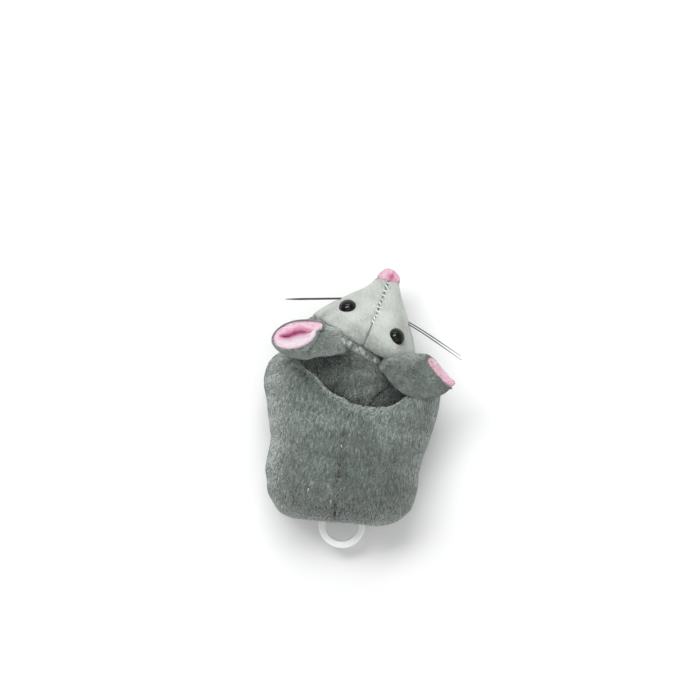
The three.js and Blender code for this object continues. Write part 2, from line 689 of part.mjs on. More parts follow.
// Pull ring with a radial hole for the cord
const ringEdge = 0.6;
const [ringIn, ringOut, ringHalf] = [ringRadius - ringBand, ringRadius, ringThickness / 2];
const ringBody = turned([
  [ringIn + ringEdge, -ringHalf], [ringOut - ringEdge, -ringHalf], [ringOut, ringEdge - ringHalf],
  [ringOut, ringHalf - ringEdge], [ringOut - ringEdge, ringHalf], [ringIn + ringEdge, ringHalf],
  [ringIn, ringHalf - ringEdge], [ringIn, ringEdge - ringHalf],
], 32);
const ringHoleRadius = cordDiameter / 2 + pressGap;
const ringHole = new THREE.CylinderGeometry(ringHoleRadius, ringHoleRadius, 2 * ringBand, 8)
  .translate(0, ringRadius - ringBand / 2, 0);
addPiece("pull_ring", solidOf(ringBody).subtract(solidOf(ringHole)), plastic(0xf4f5f4, 0.25),
  new THREE.Vector3(outletX, ringY, cordZ));

// Plush body: shell panels, joined along the middle of the back and round the belly
const flatCut = solidOf(block(new THREE.Vector3(-reach, -reach, 0), new THREE.Vector3(reach, reach, reach)));
const bodySolid = bodyForm(0).subtract(neckHollow(0)).intersect(flatCut);
const bodyInside = bodyForm(-skin).subtract(neckHollow(skin));
const bodyKeepOut = bodyForm(seatGap).subtract(neckHollow(-seatGap));

// Room for the ring and the cord at the rump
const slotShape = new THREE.Shape();
const slotRadius = ringRadius + slotGap;
slotShape.absarc(0, 0, slotRadius, 0, Math.PI);
slotShape.lineTo(-slotRadius, -reach);
slotShape.lineTo(slotRadius, -reach);
const slotHalf = ringThickness / 2 + slotGap;
const ringSlot = solidOf(extrude(slotShape, cordZ - slotHalf, cordZ + slotHalf, 12)
  .translate(outletX, ringY, 0))
  .add(solidOf(block(
    new THREE.Vector3(outletX - bushFlange - seatGap, ringY, cordZ - bushFlange - seatGap),
    new THREE.Vector3(outletX + bushFlange + seatGap, outletY + caseWall, cordZ + bushFlange + seatGap))));

const halfSeam = seatGap / 2;
const side = (lowX, highX, lowZ, highZ) => solidOf(block(
  new THREE.Vector3(lowX, -reach, lowZ), new THREE.Vector3(highX, reach, highZ)));
const bodySkin = subtract(bodySolid, bodyInside, ringSlot);
const greyPlush = () => plush(0x757b77);
const backBottom = bellySeam + halfSeam;
const leftSide = side(-reach, seamX - halfSeam, backBottom, reach);
const rightSide = side(seamX + halfSeam, reach, backBottom, reach);
addPiece("back_left_panel", bodySkin.intersect(leftSide), greyPlush());
addPiece("back_right_panel", bodySkin.intersect(rightSide), greyPlush());
addPiece("belly_panel", bodySkin.intersect(side(-reach, reach, -reach, bellySeam - halfSeam)), greyPlush());

// Filling around the case
const [roomBottom, roomTop] = [caseBottom - seatGap, caseTop + seatGap];
let caseRoom = solidOf(extrude(caseOutline(caseWall + seatGap), roomBottom, roomTop, caseSteps));
for (const lug of lugs) {
  caseRoom = caseRoom.add(solidOf(upright(rod(lugRadius + seatGap, roomBottom, roomTop, 8), lug)));
}
const bodyFilling = subtract(
  bodyForm(-skin - seatGap), neckHollow(skin + seatGap), caseRoom, spoutBlock(seatGap), ringSlot);
addPiece("body_stuffing", bodyFilling, plush(0xf3f3f0));

// Eyes: a dome on a shank, square to the head's skin, and the washer inside
function eyeFrame(side) {
  const { alongShare, angle } = eyes[side];
  const section = sectionAt(alongShare);
  const at = headPoint(section, angle, 0);
  const round = headPoint(section, angle + eyeStepShare, 0).sub(at);
  const along = headPoint(sectionAt(alongShare + eyeStepShare), angle, 0).sub(at);
  const out = new THREE.Vector3().crossVectors(along, round).normalize();
  if (out.z < 0) {
    out.negate();
  }
  out.transformDirection(headFrame);
  const turn = new THREE.Quaternion().setFromUnitVectors(new THREE.Vector3(0, 0, 1), out);
  const place = at.applyMatrix4(headFrame).addScaledVector(out, -eyeSink);
  return new THREE.Matrix4().compose(place, turn, new THREE.Vector3(1, 1, 1));
}

function eyeProfile() {
  const profile = [];
  const steps = 5;
  for (let step = 0; step < steps; step++) {
    const angle = Math.PI / 2 * step / steps;
    profile.push(new THREE.Vector2(eyeRadius * Math.cos(angle), eyeRadius * eyeDomeShare * Math.sin(angle)));
  }
  profile.push(new THREE.Vector2(0, eyeRadius * eyeDomeShare));
  return [new THREE.Vector2(0, -shankLength), new THREE.Vector2(shankRadius, -shankLength),
    new THREE.Vector2(shankRadius, 0), ...profile];
}

const washerDepth = skin + seatGap - eyeSink;
const eyeCuts = [];
const fillingCuts = [];
for (const eyeSide of ["left", "right"]) {
  const frame = eyeFrame(eyeSide);
  const eye = new THREE.LatheGeometry(eyeProfile(), 16).rotateX(Math.PI / 2);
  const eyeMesh = addPiece(`${eyeSide}_eye`, eye, plastic(0x0b0b0c, 0.08));
  const washerBore = boreRadius(shankRadius, pressGap, 14);
  const washer = turned([
    [washerBore, -washerDepth - washerThickness], [washerRadius, -washerDepth - washerThickness],
    [washerRadius, -washerDepth], [washerBore, -washerDepth],
  ], 14);
  const washerMesh = addPiece(`${eyeSide}_eye_washer`, washer, plastic(0xdfe0de, 0.5));
  for (const mesh of [eyeMesh, washerMesh]) {
    frame.decompose(mesh.position, mesh.quaternion, mesh.scale);
  }
  const shankRoom = rod(shankRadius + seatGap, -shankLength - seatGap, eyeRadius, 8);
  const seat = rod(eyeRadius + seatGap, -seatGap, eyeRadius * 2, 14);
  const washerRoom = rod(washerRadius + seatGap, -washerDepth - washerThickness - seatGap, skin, 12);
  eyeCuts.push(solidOf(shankRoom.clone().applyMatrix4(frame)), solidOf(seat.applyMatrix4(frame)));
  fillingCuts.push(solidOf(shankRoom.applyMatrix4(frame)), solidOf(washerRoom.applyMatrix4(frame)));
}

// Whiskers and the thin channels that they run in
function whiskerTube(route, radius, sides) {
  const path = new THREE.CatmullRomCurve3(route.map(headPlace));
  const section = new THREE.Shape();
  section.absarc(0, 0, radius, 0, 2 * Math.PI);
  return new THREE.ExtrudeGeometry(section,
    { steps: 12, bevelEnabled: false, curveSegments: sides / 2, extrudePath: path });
}

const whiskerCuts = [];
for (const [name, route] of Object.entries(whiskerRouteShares)) {
  addPiece(name, solidOf(whiskerTube(route, whiskerDiameter / 2, 6)), plastic(0x2b2a2c, 0.4));
  whiskerCuts.push(solidOf(whiskerTube(route, whiskerDiameter / 2 + seatGap, 6)));
}

// Plush head: two face panels in front of the crease, two neck panels behind it, chin below
const headSolid = headForm(0);
const headSkin = subtract(headSolid, headForm(-skin), bodyKeepOut, ...eyeCuts, ...whiskerCuts);
const creaseY = creaseShare * headLength;
const noseY = noseShare * headLength;
const cheekBlock = (grow) => {
  const [rear, front] = cheekSeamShares.map((share) => share * headHeight + grow);
  const corners = [[-reach, rear], [headLength, front], [headLength, reach], [-reach, reach]];
  const shape = new THREE.Shape(corners.map(([y, z]) => new THREE.Vector2(y, z)));
  return solidOf(new THREE.ExtrudeGeometry(shape, { depth: 2 * reach, bevelEnabled: false })
    .translate(0, 0, -reach).applyMatrix4(new THREE.Matrix4().makeBasis(
      new THREE.Vector3(0, 1, 0), new THREE.Vector3(0, 0, 1), new THREE.Vector3(1, 0, 0)))
    .applyMatrix4(headFrame));
};
const upperHead = headSkin.intersect(cheekBlock(halfSeam));
const palePlush = () => plush(0xc3c9c4);
addPiece("face_left_panel", upperHead.intersect(
  headHalf([null, creaseY + halfSeam, null], [-halfSeam, noseY - halfSeam, null])), palePlush());
addPiece("face_right_panel", upperHead.intersect(
  headHalf([halfSeam, creaseY + halfSeam, null], [null, noseY - halfSeam, null])), palePlush());
addPiece("neck_left_panel", upperHead.intersect(
  headHalf([null, null, null], [-halfSeam, creaseY - halfSeam, null])), greyPlush());
addPiece("neck_right_panel", upperHead.intersect(
  headHalf([halfSeam, null, null], [null, creaseY - halfSeam, null])), greyPlush());
addPiece("chin_panel", subtract(headSkin, cheekBlock(-halfSeam)).intersect(
  headHalf([null, null, null], [null, noseY - halfSeam, null])), palePlush());

const headFilling = subtract(headForm(-skin - seatGap), bodyKeepOut, ...fillingCuts, ...whiskerCuts)
  .intersect(headHalf([null, null, null], [null, noseY - halfSeam, null]));
addPiece("head_stuffing", headFilling, plush(0xf3f3f0));

// Nose: a small round cap over the tip
const noseSection = sectionAt(noseShare);
const noseBall = new THREE.SphereGeometry(noseRadius, 20, 12).scale(1, noseLengthShare, 1)
  .translate(-noseBend * noseShare ** 2, noseY, noseSection.middle * headHeight).applyMatrix4(headFrame);
const noseCap = solidOf(noseBall).intersect(headHalf([null, noseY + halfSeam, null], [null, null, null]));
addPiece("nose_cap", noseCap, plush(0xf0a9c8));

// Ears: grey horns with a pink lining in the mouth
const headKeepOut = headForm(seatGap);
const liningInset = earWall + seatGap;
for (const [earSide, ear] of Object.entries(ears)) {
  const horn = subtract(earForm(ear, ear.hornShares, 0, 0, 0), bodyKeepOut, headKeepOut);
  const hollow = earForm(ear, dishShares, earWall, 0, cutOverrun);
  addPiece(`${earSide}_ear`, horn.subtract(hollow), greyPlush());
  const lining = earForm(ear, dishShares, liningInset, seatGap, 0);
  const opening = earForm(
    ear, foldShares, liningInset + liningThickness, seatGap + liningThickness, cutOverrun);
  addPiece(`${earSide}_ear_lining`, lining.subtract(opening), plush(0xf3b4d0));
}

export default toy;
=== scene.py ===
import math

import bpy
import numpy as np
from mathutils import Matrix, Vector


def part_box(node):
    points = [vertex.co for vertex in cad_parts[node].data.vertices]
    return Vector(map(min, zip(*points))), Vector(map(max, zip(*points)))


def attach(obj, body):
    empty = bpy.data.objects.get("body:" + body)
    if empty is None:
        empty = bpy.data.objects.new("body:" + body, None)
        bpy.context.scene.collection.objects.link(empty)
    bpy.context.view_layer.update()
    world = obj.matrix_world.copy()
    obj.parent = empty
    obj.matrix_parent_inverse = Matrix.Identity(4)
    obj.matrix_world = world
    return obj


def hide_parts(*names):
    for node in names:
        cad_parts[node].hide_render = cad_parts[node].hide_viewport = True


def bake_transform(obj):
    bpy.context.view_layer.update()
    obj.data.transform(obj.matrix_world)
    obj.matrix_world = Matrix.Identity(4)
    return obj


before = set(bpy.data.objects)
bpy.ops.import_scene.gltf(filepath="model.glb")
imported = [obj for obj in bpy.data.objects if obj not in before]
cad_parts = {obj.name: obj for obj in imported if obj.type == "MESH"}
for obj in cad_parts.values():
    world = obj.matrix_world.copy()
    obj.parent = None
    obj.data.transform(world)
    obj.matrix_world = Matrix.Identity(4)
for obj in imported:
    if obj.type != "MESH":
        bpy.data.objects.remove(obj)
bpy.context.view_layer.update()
scene = bpy.context.scene
scene.view_settings.view_transform = "Standard"
MM = 0.001

# Camera
# A long lens looks straight down, turned a little, with the toy framed as in a packshot.
camera_height = 1200
sharp_height = 18
picture_width = 265.3
sensor_width = 36
picture_middle = (-1.15, 36.9)
camera_turn = math.radians(6.5)

camera_data = bpy.data.cameras.new("camera")
camera_data.sensor_width = sensor_width
camera_data.lens = sensor_width * (camera_height - sharp_height) / picture_width
camera = bpy.data.objects.new("camera", camera_data)
camera.location = (picture_middle[0] * MM, picture_middle[1] * MM, camera_height * MM)
camera.rotation_euler = (0, 0, camera_turn)
scene.collection.objects.link(camera)
scene.camera = camera

# Pull cord
# A three-ply polyester cord. Its lead runs from the drum through the brass bush and the ring's
# hole to a tight knot, and pulling the ring draws the rest of it off the drum.
ply_radius = 0.24
ply_offset = 0.21
ply_pitch = 1.2
steps_per_turn = 10
knot_size = 0.62
knot_cord_radius = 0.4


def made_piece(name, points, faces):
    """A smooth-shaded mesh object at the origin, from points in millimetres."""
    mesh = bpy.data.meshes.new(name)
    mesh.from_pydata((np.asarray(points, float) * MM).tolist(), [], faces)
    mesh.shade_smooth()
    piece = bpy.data.objects.new(name, mesh)
    scene.collection.objects.link(piece)
    return piece


def loft(rings):
    """Points and faces of a closed form over rings of equal count, with a fan over each end."""
    rings = np.asarray(rings, float)
    count, sides = rings.shape[:2]
    points = np.vstack([rings.reshape(-1, 3), rings[0].mean(0), rings[-1].mean(0)])
    here = np.arange(sides)
    following = (here + 1) % sides
    faces = []
    for ring in range(count - 1):
        a, b = ring * sides, (ring + 1) * sides
        faces += np.stack([a + here, a + following, b + following, b + here], 1).tolist()
    end = (count - 1) * sides
    faces += [[count * sides, j, i] for i, j in zip(here.tolist(), following.tolist())]
    faces += [[count * sides + 1, end + i, end + j] for i, j in zip(here.tolist(), following.tolist())]
    volume = sum(points[f[0]].dot(np.cross(points[f[1]], points[f[2]])) for f in faces)
    return points, faces if volume > 0 else [face[::-1] for face in faces]


def tube_rings(line, radii, sides):
    """Rings round a line, in directions that are carried along it without twist."""
    line = np.asarray(line, float)
    ahead = np.gradient(line, axis=0)
    ahead /= np.linalg.norm(ahead, axis=1)[:, None]
    across = np.cross(ahead[0], (0.31, 0.17, 0.93))
    angles = 2 * np.pi * np.arange(sides) / sides
    rings = []
    for point, forward, radius in zip(line, ahead, np.broadcast_to(radii, len(line))):
        across = across - forward * across.dot(forward)
        across /= np.linalg.norm(across)
        up = np.cross(forward, across)
        rings.append(point + radius * (np.outer(np.cos(angles), across) + np.outer(np.sin(angles), up)))
    return np.array(rings)


def joined(parts):
    """Points and faces of several forms as one."""
    points, faces = [], []
    for part_points, part_faces in parts:
        start = sum(len(p) for p in points)
        points.append(part_points)
        faces += [[start + index for index in face] for face in part_faces]
    return np.vstack(points), faces


def node(tree, kind, inputs=None, **settings):
    """A node in a tree, with its settings, and its inputs linked or set."""
    made = tree.nodes.new(kind)
    for key, value in settings.items():
        setattr(made, key, value)
    for key, value in (inputs or {}).items():
        if isinstance(value, bpy.types.NodeSocket):
            tree.links.new(value, made.inputs[key])
        else:
            made.inputs[key].default_value = value
    return made


def new_tree(name, kind, inputs, outputs):
    """A node group with these sockets, and the sockets of its own input and output nodes."""
    tree = bpy.data.node_groups.new(name, kind)
    for way, sockets in (("INPUT", inputs), ("OUTPUT", outputs)):
        for label, sort in sockets.items():
            tree.interface.new_socket(label, in_out=way, socket_type="NodeSocket" + sort)
    return tree, tree.nodes.new("NodeGroupInput").outputs, tree.nodes.new("NodeGroupOutput").inputs


def linear(red, green, blue):
    """A colour written as it looks on screen, 0 to 255, as the numbers that shaders use."""
    return tuple(((c / 255 + 0.055) / 1.055) ** 2.4 if c > 10 else c / 3294.6
                 for c in (red, green, blue)) + (1,)


def finish_of(name, roughness, **extras):
    """A new material with its tree and its shader, whose plain values are set on its own sockets."""
    material = bpy.data.materials.new(name)
    material.use_nodes = True
    tree = material.node_tree
    shader = tree.nodes["Principled BSDF"]
    shader.inputs["Roughness"].default_value = roughness
    for key, value in extras.items():
        shader.inputs[key.replace("_", " ").title().replace("Ior", "IOR")].default_value = value
    return material, tree, shader


def grain_group():
    """Fine grain for moulded, turned and spun surfaces: a colour varied a little, and a height."""
    tree, given, result = new_tree(
        "surface_grain", "ShaderNodeTree",
        {"Color": "Color", "Size": "Float", "Amount": "Float", "Stretch": "Vector"},
        {"Color": "Color", "Height": "Float", "Roughness": "Float"})
    place = node(tree, "ShaderNodeTexCoord").outputs["Object"]
    stretched = node(tree, "ShaderNodeVectorMath", {0: place, 1: given["Stretch"]}, operation="MULTIPLY")
    fine = node(tree, "ShaderNodeTexNoise",
                {"Vector": stretched.outputs[0], "Scale": given["Size"], "Detail": 3.0}).outputs["Fac"]
    broad = node(tree, "ShaderNodeTexNoise", {"Vector": place, "Scale": 160.0, "Detail": 2.0}).outputs["Fac"]
    both = node(tree, "ShaderNodeMath", {0: fine, 1: broad}, operation="ADD")
    swing = node(tree, "ShaderNodeMath", {0: both.outputs[0], 1: 1.0}, operation="SUBTRACT")
    amount = node(tree, "ShaderNodeMath", {0: swing.outputs[0], 1: given["Amount"]}, operation="MULTIPLY")
    level = node(tree, "ShaderNodeMath", {0: amount.outputs[0], 1: 1.0}, operation="ADD")
    tone = node(tree, "ShaderNodeVectorMath", {0: given["Color"], "Scale": level.outputs[0]},
                operation="SCALE")
    rough = node(tree, "ShaderNodeMapRange", {"Value": broad, "To Min": 0.26, "To Max": 0.5})
    tree.links.new(tone.outputs[0], result["Color"])
    tree.links.new(fine, result["Height"])
    tree.links.new(rough.outputs[0], result["Roughness"])
    return tree


def mottle_group():
    """A colour that drifts between two near tones."""
    tree, given, result = new_tree(
        "mottle", "ShaderNodeTree", {"Dark": "Color", "Light": "Color", "Size": "Float"}, {"Color": "Color"})
    place = node(tree, "ShaderNodeTexCoord").outputs["Object"]
    swirl = node(tree, "ShaderNodeTexNoise", {"Vector": place, "Scale": given["Size"]}).outputs["Fac"]
    tone = node(tree, "ShaderNodeMix", {0: swirl, 6: given["Dark"], 7: given["Light"]}, data_type="RGBA")
    tree.links.new(tone.outputs[2], result["Color"])
    return tree


surface_grain = grain_group()
mottle = mottle_group()


def coloured_by(group, tree, shader, values):
    """Places a node group in a material with these values, and takes the base colour from it."""
    placed = node(tree, "ShaderNodeGroup", node_tree=group)
    for key, value in values.items():
        placed.inputs[key].default_value = value
    tree.links.new(placed.outputs["Color"], shader.inputs["Base Color"])
    return placed


def mottled(name, roughness, size, dark, light, **extras):
    """A material of one colour that hardly varies."""
    material, tree, shader = finish_of(name, roughness, **extras)
    coloured_by(mottle, tree, shader, {"Dark": dark, "Light": light, "Size": size})
    return material


def grained(name, color, roughness, size=900, amount=0.12, stretch=(1, 1, 1), bump=0.04, vary=True, **extras):
    """A material whose colour, roughness and bump come from the grain group."""
    material, tree, shader = finish_of(name, roughness, **extras)
    grain = coloured_by(surface_grain, tree, shader,
                        {"Color": color, "Size": size, "Amount": amount, "Stretch": stretch})
    height = node(tree, "ShaderNodeBump",
                  {"Height": grain.outputs["Height"], "Strength": bump, "Distance": 0.0002})
    tree.links.new(height.outputs[0], shader.inputs["Normal"])
    if vary:
        tree.links.new(grain.outputs["Roughness"], shader.inputs["Roughness"])
    return material


cord_white = grained("cord_white", linear(240, 239, 234), 0.8, size=4000, amount=0.2, bump=0.2, vary=False)

cord_low, cord_high = [np.array(corner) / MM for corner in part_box("pull_cord")]
cord_x = (cord_low[0] + cord_high[0]) / 2
cord_z = (cord_low[2] + cord_high[2]) / 2
knot_y = cord_low[1] + (cord_high[0] - cord_low[0]) / 2
lead_length = cord_high[1] - knot_y
turns = lead_length / ply_pitch
share = np.linspace(0, 1, int(turns * steps_per_turn))
parts = []
for ply in range(3):
    angle = 2 * np.pi * (turns * share + ply / 3)
    line = np.stack([cord_x + ply_offset * np.cos(angle), cord_high[1] - lead_length * share,
                     cord_z + ply_offset * np.sin(angle)], 1)
    parts.append(loft(tube_rings(line, ply_radius, 6)))
turn = np.linspace(0, 2 * np.pi, 72)
knot_line = np.stack([
    cord_x + knot_size * (np.sin(turn) + 2 * np.sin(2 * turn)) / 2,
    knot_y + knot_size * (np.cos(turn) - 2 * np.cos(2 * turn)) / 2,
    cord_z - knot_size * np.sin(3 * turn)], 1)
parts.append(loft(tube_rings(knot_line, knot_cord_radius, 8)))
pull_cord = made_piece("pull_cord_lead", *joined(parts))
pull_cord.data.materials.append(cord_white)
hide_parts("pull_cord")
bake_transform(pull_cord)

# Plush body
# A full bag in three panels of short-pile plush, sewn along the middle of the back and round the
# belly and turned right side out. Its front edge is rolled over into a collar round the neck.
seam_gap = 0.3
half_gap = seam_gap / 2
plush_wall = 1.6
pile_depth = 0.6
body_at = np.array([1.65, 2.48])
body_half = np.array([33.0, 31.3])
body_top = 38.3
body_waist = 18.0
flat_depth = 0.5
belly_seam = 13.0
back_seam = 0.05
body_outline_shares = [
    (0.07, -1), (0.46, -0.98), (0.72, -0.86), (0.85, -0.59), (0.87, -0.18), (0.94, 0.18),
    (1, 0.49), (0.96, 0.78), (0.73, 0.97), (0.25, 1.03), (-0.3, 1.04), (-0.72, 1.02),
    (-0.95, 0.89), (-1.02, 0.63), (-0.95, 0.32), (-0.87, -0.08), (-0.89, -0.43), (-0.8, -0.78),
    (-0.56, -0.97),
]
collar_shares = [
    (-0.74, 1.1), (-0.63, 0.93), (-0.45, 0.75), (-0.26, 0.58), (-0.09, 0.5), (0.08, 0.44),
    (0.23, 0.43), (0.38, 0.46), (0.5, 0.52), (0.62, 0.63), (0.78, 0.83), (0.86, 1.1),
]
neck_floor = 24.8
collar_rim = 31
collar_fold = [(neck_floor, -1.6), (29, -1.8), (32.5, -0.7), (35, 0), (37, -0.8), (40, -3)]
collar_roll = 2.2
stitch_pulls = [5.7, -5.6, -10.2, -21, -24.4]
ring_slot_radius = 9.5
ring_slot_half = 1.8


def curve_through(points, steps, closed=False):
    """A smooth line through the points, with this many steps between neighbours."""
    given = np.array(points, float)
    if closed:
        given = np.vstack([given[-1], given, given[:2]])
    else:
        given = np.vstack([2 * given[0] - given[1], given, 2 * given[-1] - given[-2]])
    t = np.linspace(0, 1, steps, endpoint=False)[:, None]
    line = [0.5 * (2 * b + (c - a) * t + (2 * a - 5 * b + 4 * c - d) * t**2 + (3 * b - a - 3 * c + d) * t**3)
            for a, b, c, d in zip(given, given[1:], given[2:], given[3:])]
    return np.vstack(line if closed else [*line, given[-2][None]])


def ripple(x, y, z, size, seed):
    """A smooth random swing, about -1 to 1, with swells of about this size."""
    draws = np.random.default_rng(seed)
    total = 0
    for _ in range(6):
        direction = draws.normal(size=3)
        direction *= 2 * np.pi / size / np.linalg.norm(direction) * draws.uniform(0.7, 1.3)
        phase = draws.uniform(0, 6.28)
        total = total + np.sin(x * direction[0] + y * direction[1] + z * direction[2] + phase)
    return total / 3


def hump(distance, width):
    """1 at no distance, and fading out over this width."""
    return np.exp(-(distance / width) ** 2)


def spot(x, y, middle, width):
    """A round patch seen from above: 1 in its middle, and fading out over this width."""
    return hump(np.hypot(x - middle[0], y - middle[1]), width)


def true_distance(form, x, y, z):
    """A form's value turned into millimetres from its surface."""
    step = 0.05
    value = form(x, y, z)
    slope = np.sqrt(sum((form(x + dx, y + dy, z + dz) - value) ** 2
                        for dx, dy, dz in ((step, 0, 0), (0, step, 0), (0, 0, step)))) / step
    return value / np.maximum(slope, 0.35)


def blunt_max(a, b, radius):
    """The larger of two distances, with the edge where they meet rounded off."""
    return np.maximum(a, b) + np.maximum(radius - np.abs(a - b), 0) ** 2 / (4 * radius)


body_outline = curve_through(np.array(body_outline_shares) * body_half, 20, closed=True)
outline_angle = np.arctan2(body_outline[:, 1], body_outline[:, 0])
outline_reach = np.hypot(body_outline[:, 0], body_outline[:, 1]) - pile_depth
collar_line = curve_through(np.array(collar_shares) * body_half + body_at, 8)


def bag_form(x, y, z):
    """The plain bag that the three panels are cut for: zero on it, negative inside."""
    dx, dy, rise = x - body_at[0], y - body_at[1], z - body_waist
    radius = np.hypot(dx, dy)
    reach = np.interp(np.arctan2(dy, dx), outline_angle, outline_reach, period=2 * np.pi)
    half = np.where(rise > 0, body_top - body_waist, body_waist + flat_depth) - pile_depth
    fullness = np.where(rise > 0, 2.5, 3.0)
    level = ((radius / reach) ** fullness + (np.abs(rise) / half) ** fullness) ** (1 / fullness)
    return (1 - 1 / np.maximum(level, 0.05)) * np.hypot(radius, rise)


def bag_distance(x, y, z):
    """Distance from the bag's plush, with its soft lumps, seams and pulled stitches."""
    distance = true_distance(bag_form, x, y, z)
    distance = distance + 0.55 * ripple(x, y, z, 27, 3) + 0.16 * ripple(x, y, z, 9, 4)
    above = z > belly_seam
    distance = distance + above * 0.45 * hump(x - back_seam, 1.4) + 0.8 * hump(z - belly_seam, 1.5)
    for pull in stitch_pulls:
        distance = distance + above * 1.5 * hump(np.hypot(x - back_seam, (y - pull) / 1.4), 1.1)
    return distance


def ahead_of_collar(x, y):
    """How far a place lies in front of the collar's edge, negative behind it."""
    places = np.stack([np.ravel(x), np.ravel(y)], 1)
    start, run = collar_line[:-1], np.diff(collar_line, axis=0)
    nearest = np.full(len(places), np.inf)
    for a, d in zip(start, run):
        along = np.clip((places - a) @ d / d.dot(d), 0, 1)
        nearest = np.minimum(nearest, np.linalg.norm(places - a - along[:, None] * d, axis=1))
    ahead = places[:, 1] > np.interp(places[:, 0], collar_line[:, 0], collar_line[:, 1])
    return np.where(ahead, nearest, -nearest).reshape(np.shape(x))


def ahead_over(gx, gy):
    """The same for every point of an upright grid."""
    return np.repeat(ahead_of_collar(gx[:, :, :1], gy[:, :, :1]), gx.shape[2], 2)


def body_distance(x, y, z, ahead=None):
    """Distance from the body's plush: the bag, less the hollow in front of the rolled collar."""
    ahead = ahead_of_collar(x, y) if ahead is None else ahead
    heights, folds = zip(*collar_fold)
    edge = np.interp(z, heights, folds) + 0.3 * ripple(x, y, z, 11, 5)
    hollow = np.maximum(edge - ahead, neck_floor - z)
    return blunt_max(bag_distance(x, y, z), -hollow, collar_roll)


def ring_slot(x, y, z):
    """Distance from the slot in the rump that the ring lies in, negative inside it."""
    ring_low, ring_high = [np.array(corner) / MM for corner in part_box("pull_ring")]
    middle = (ring_low + ring_high) / 2
    radius = np.hypot(x - middle[0], np.maximum(y - middle[1], 0))
    return np.maximum(radius - ring_slot_radius, np.abs(z - middle[2]) - ring_slot_half)


def grid_over(low, high, pitch):
    """The grid's low corner, and the coordinates of its points."""
    axes = [np.arange(a, b + pitch, pitch) for a, b in zip(low, high)]
    return np.array(low, float), np.meshgrid(*axes, indexing="ij")


def skin_mesh(field, low, pitch):
    """Points and faces of the closed surface where a field on a grid is zero. It is negative inside."""
    for axis in range(3):
        border = np.moveaxis(field, axis, 0)
        border[[0, -1]] = np.maximum(border[[0, -1]], 0.01)
    inside = field < 0
    size = np.array(field.shape) - 1
    corners = [inside[i:size[0] + i, j:size[1] + j, k:size[2] + k]
               for i in (0, 1) for j in (0, 1) for k in (0, 1)]
    mixed = np.any(corners, axis=0) & ~np.all(corners, axis=0)
    index = np.full(mixed.shape, -1)
    index[mixed] = np.arange(np.count_nonzero(mixed))
    cells = np.argwhere(mixed)
    total, hits = np.zeros(cells.shape), np.zeros(len(cells))
    for axis in range(3):
        for u in (0, 1):
            for v in (0, 1):
                start = cells.copy()
                start[:, (axis + 1) % 3] += u
                start[:, (axis + 2) % 3] += v
                end = start.copy()
                end[:, axis] += 1
                a, b = field[tuple(start.T)], field[tuple(end.T)]
                crossed = (a < 0) != (b < 0)
                point = start.astype(float)
                point[:, axis] += np.where(crossed, a / np.where(crossed, a - b, 1), 0)
                total[crossed] += point[crossed]
                hits += crossed
    faces = []
    for axis in range(3):
        u, v = (axis + 1) % 3, (axis + 2) % 3
        a = np.take(inside, range(size[axis]), axis)
        b = np.take(inside, range(1, size[axis] + 1), axis)
        crossing = np.argwhere(a != b)
        leaving = a[tuple(crossing.T)]
        quad = []
        for du, dv in ((-1, -1), (0, -1), (0, 0), (-1, 0)):
            cell = crossing.copy()
            cell[:, u] += du
            cell[:, v] += dv
            quad.append(index[tuple(cell.T)])
        quad = np.stack(quad, 1)
        faces += [quad[leaving], quad[~leaving][:, ::-1]]
    return total / hits[:, None] * pitch + low, np.vstack(faces).tolist()


def strand_mesh():
    """One strand of pile, of unit length: a flat spindle from a buried root to a bent tip."""
    points = [(0, 0, -0.14), (0.1, 0, 0.38), (-0.03, 0.5, 0.4), (-0.03, -0.5, 0.4), (0.34, 0, 0.94)]
    faces = [(0, 2, 1), (0, 3, 2), (0, 1, 3), (4, 1, 2), (4, 2, 3), (4, 3, 1)]
    mesh = bpy.data.meshes.new("strand")
    mesh.from_pydata(points, [], faces)
    mesh.shade_smooth()
    share = mesh.attributes.new("strand", "FLOAT_VECTOR", "POINT")
    share.data.foreach_set("vector", [0.0, 0, 0, 0.45, 0, 0, 0.45, 1, 0, 0.45, -1, 0, 1, 0, 0])
    return bpy.data.objects.new("strand", mesh)


speck_share = 0.0002
speck_tint = 0.98


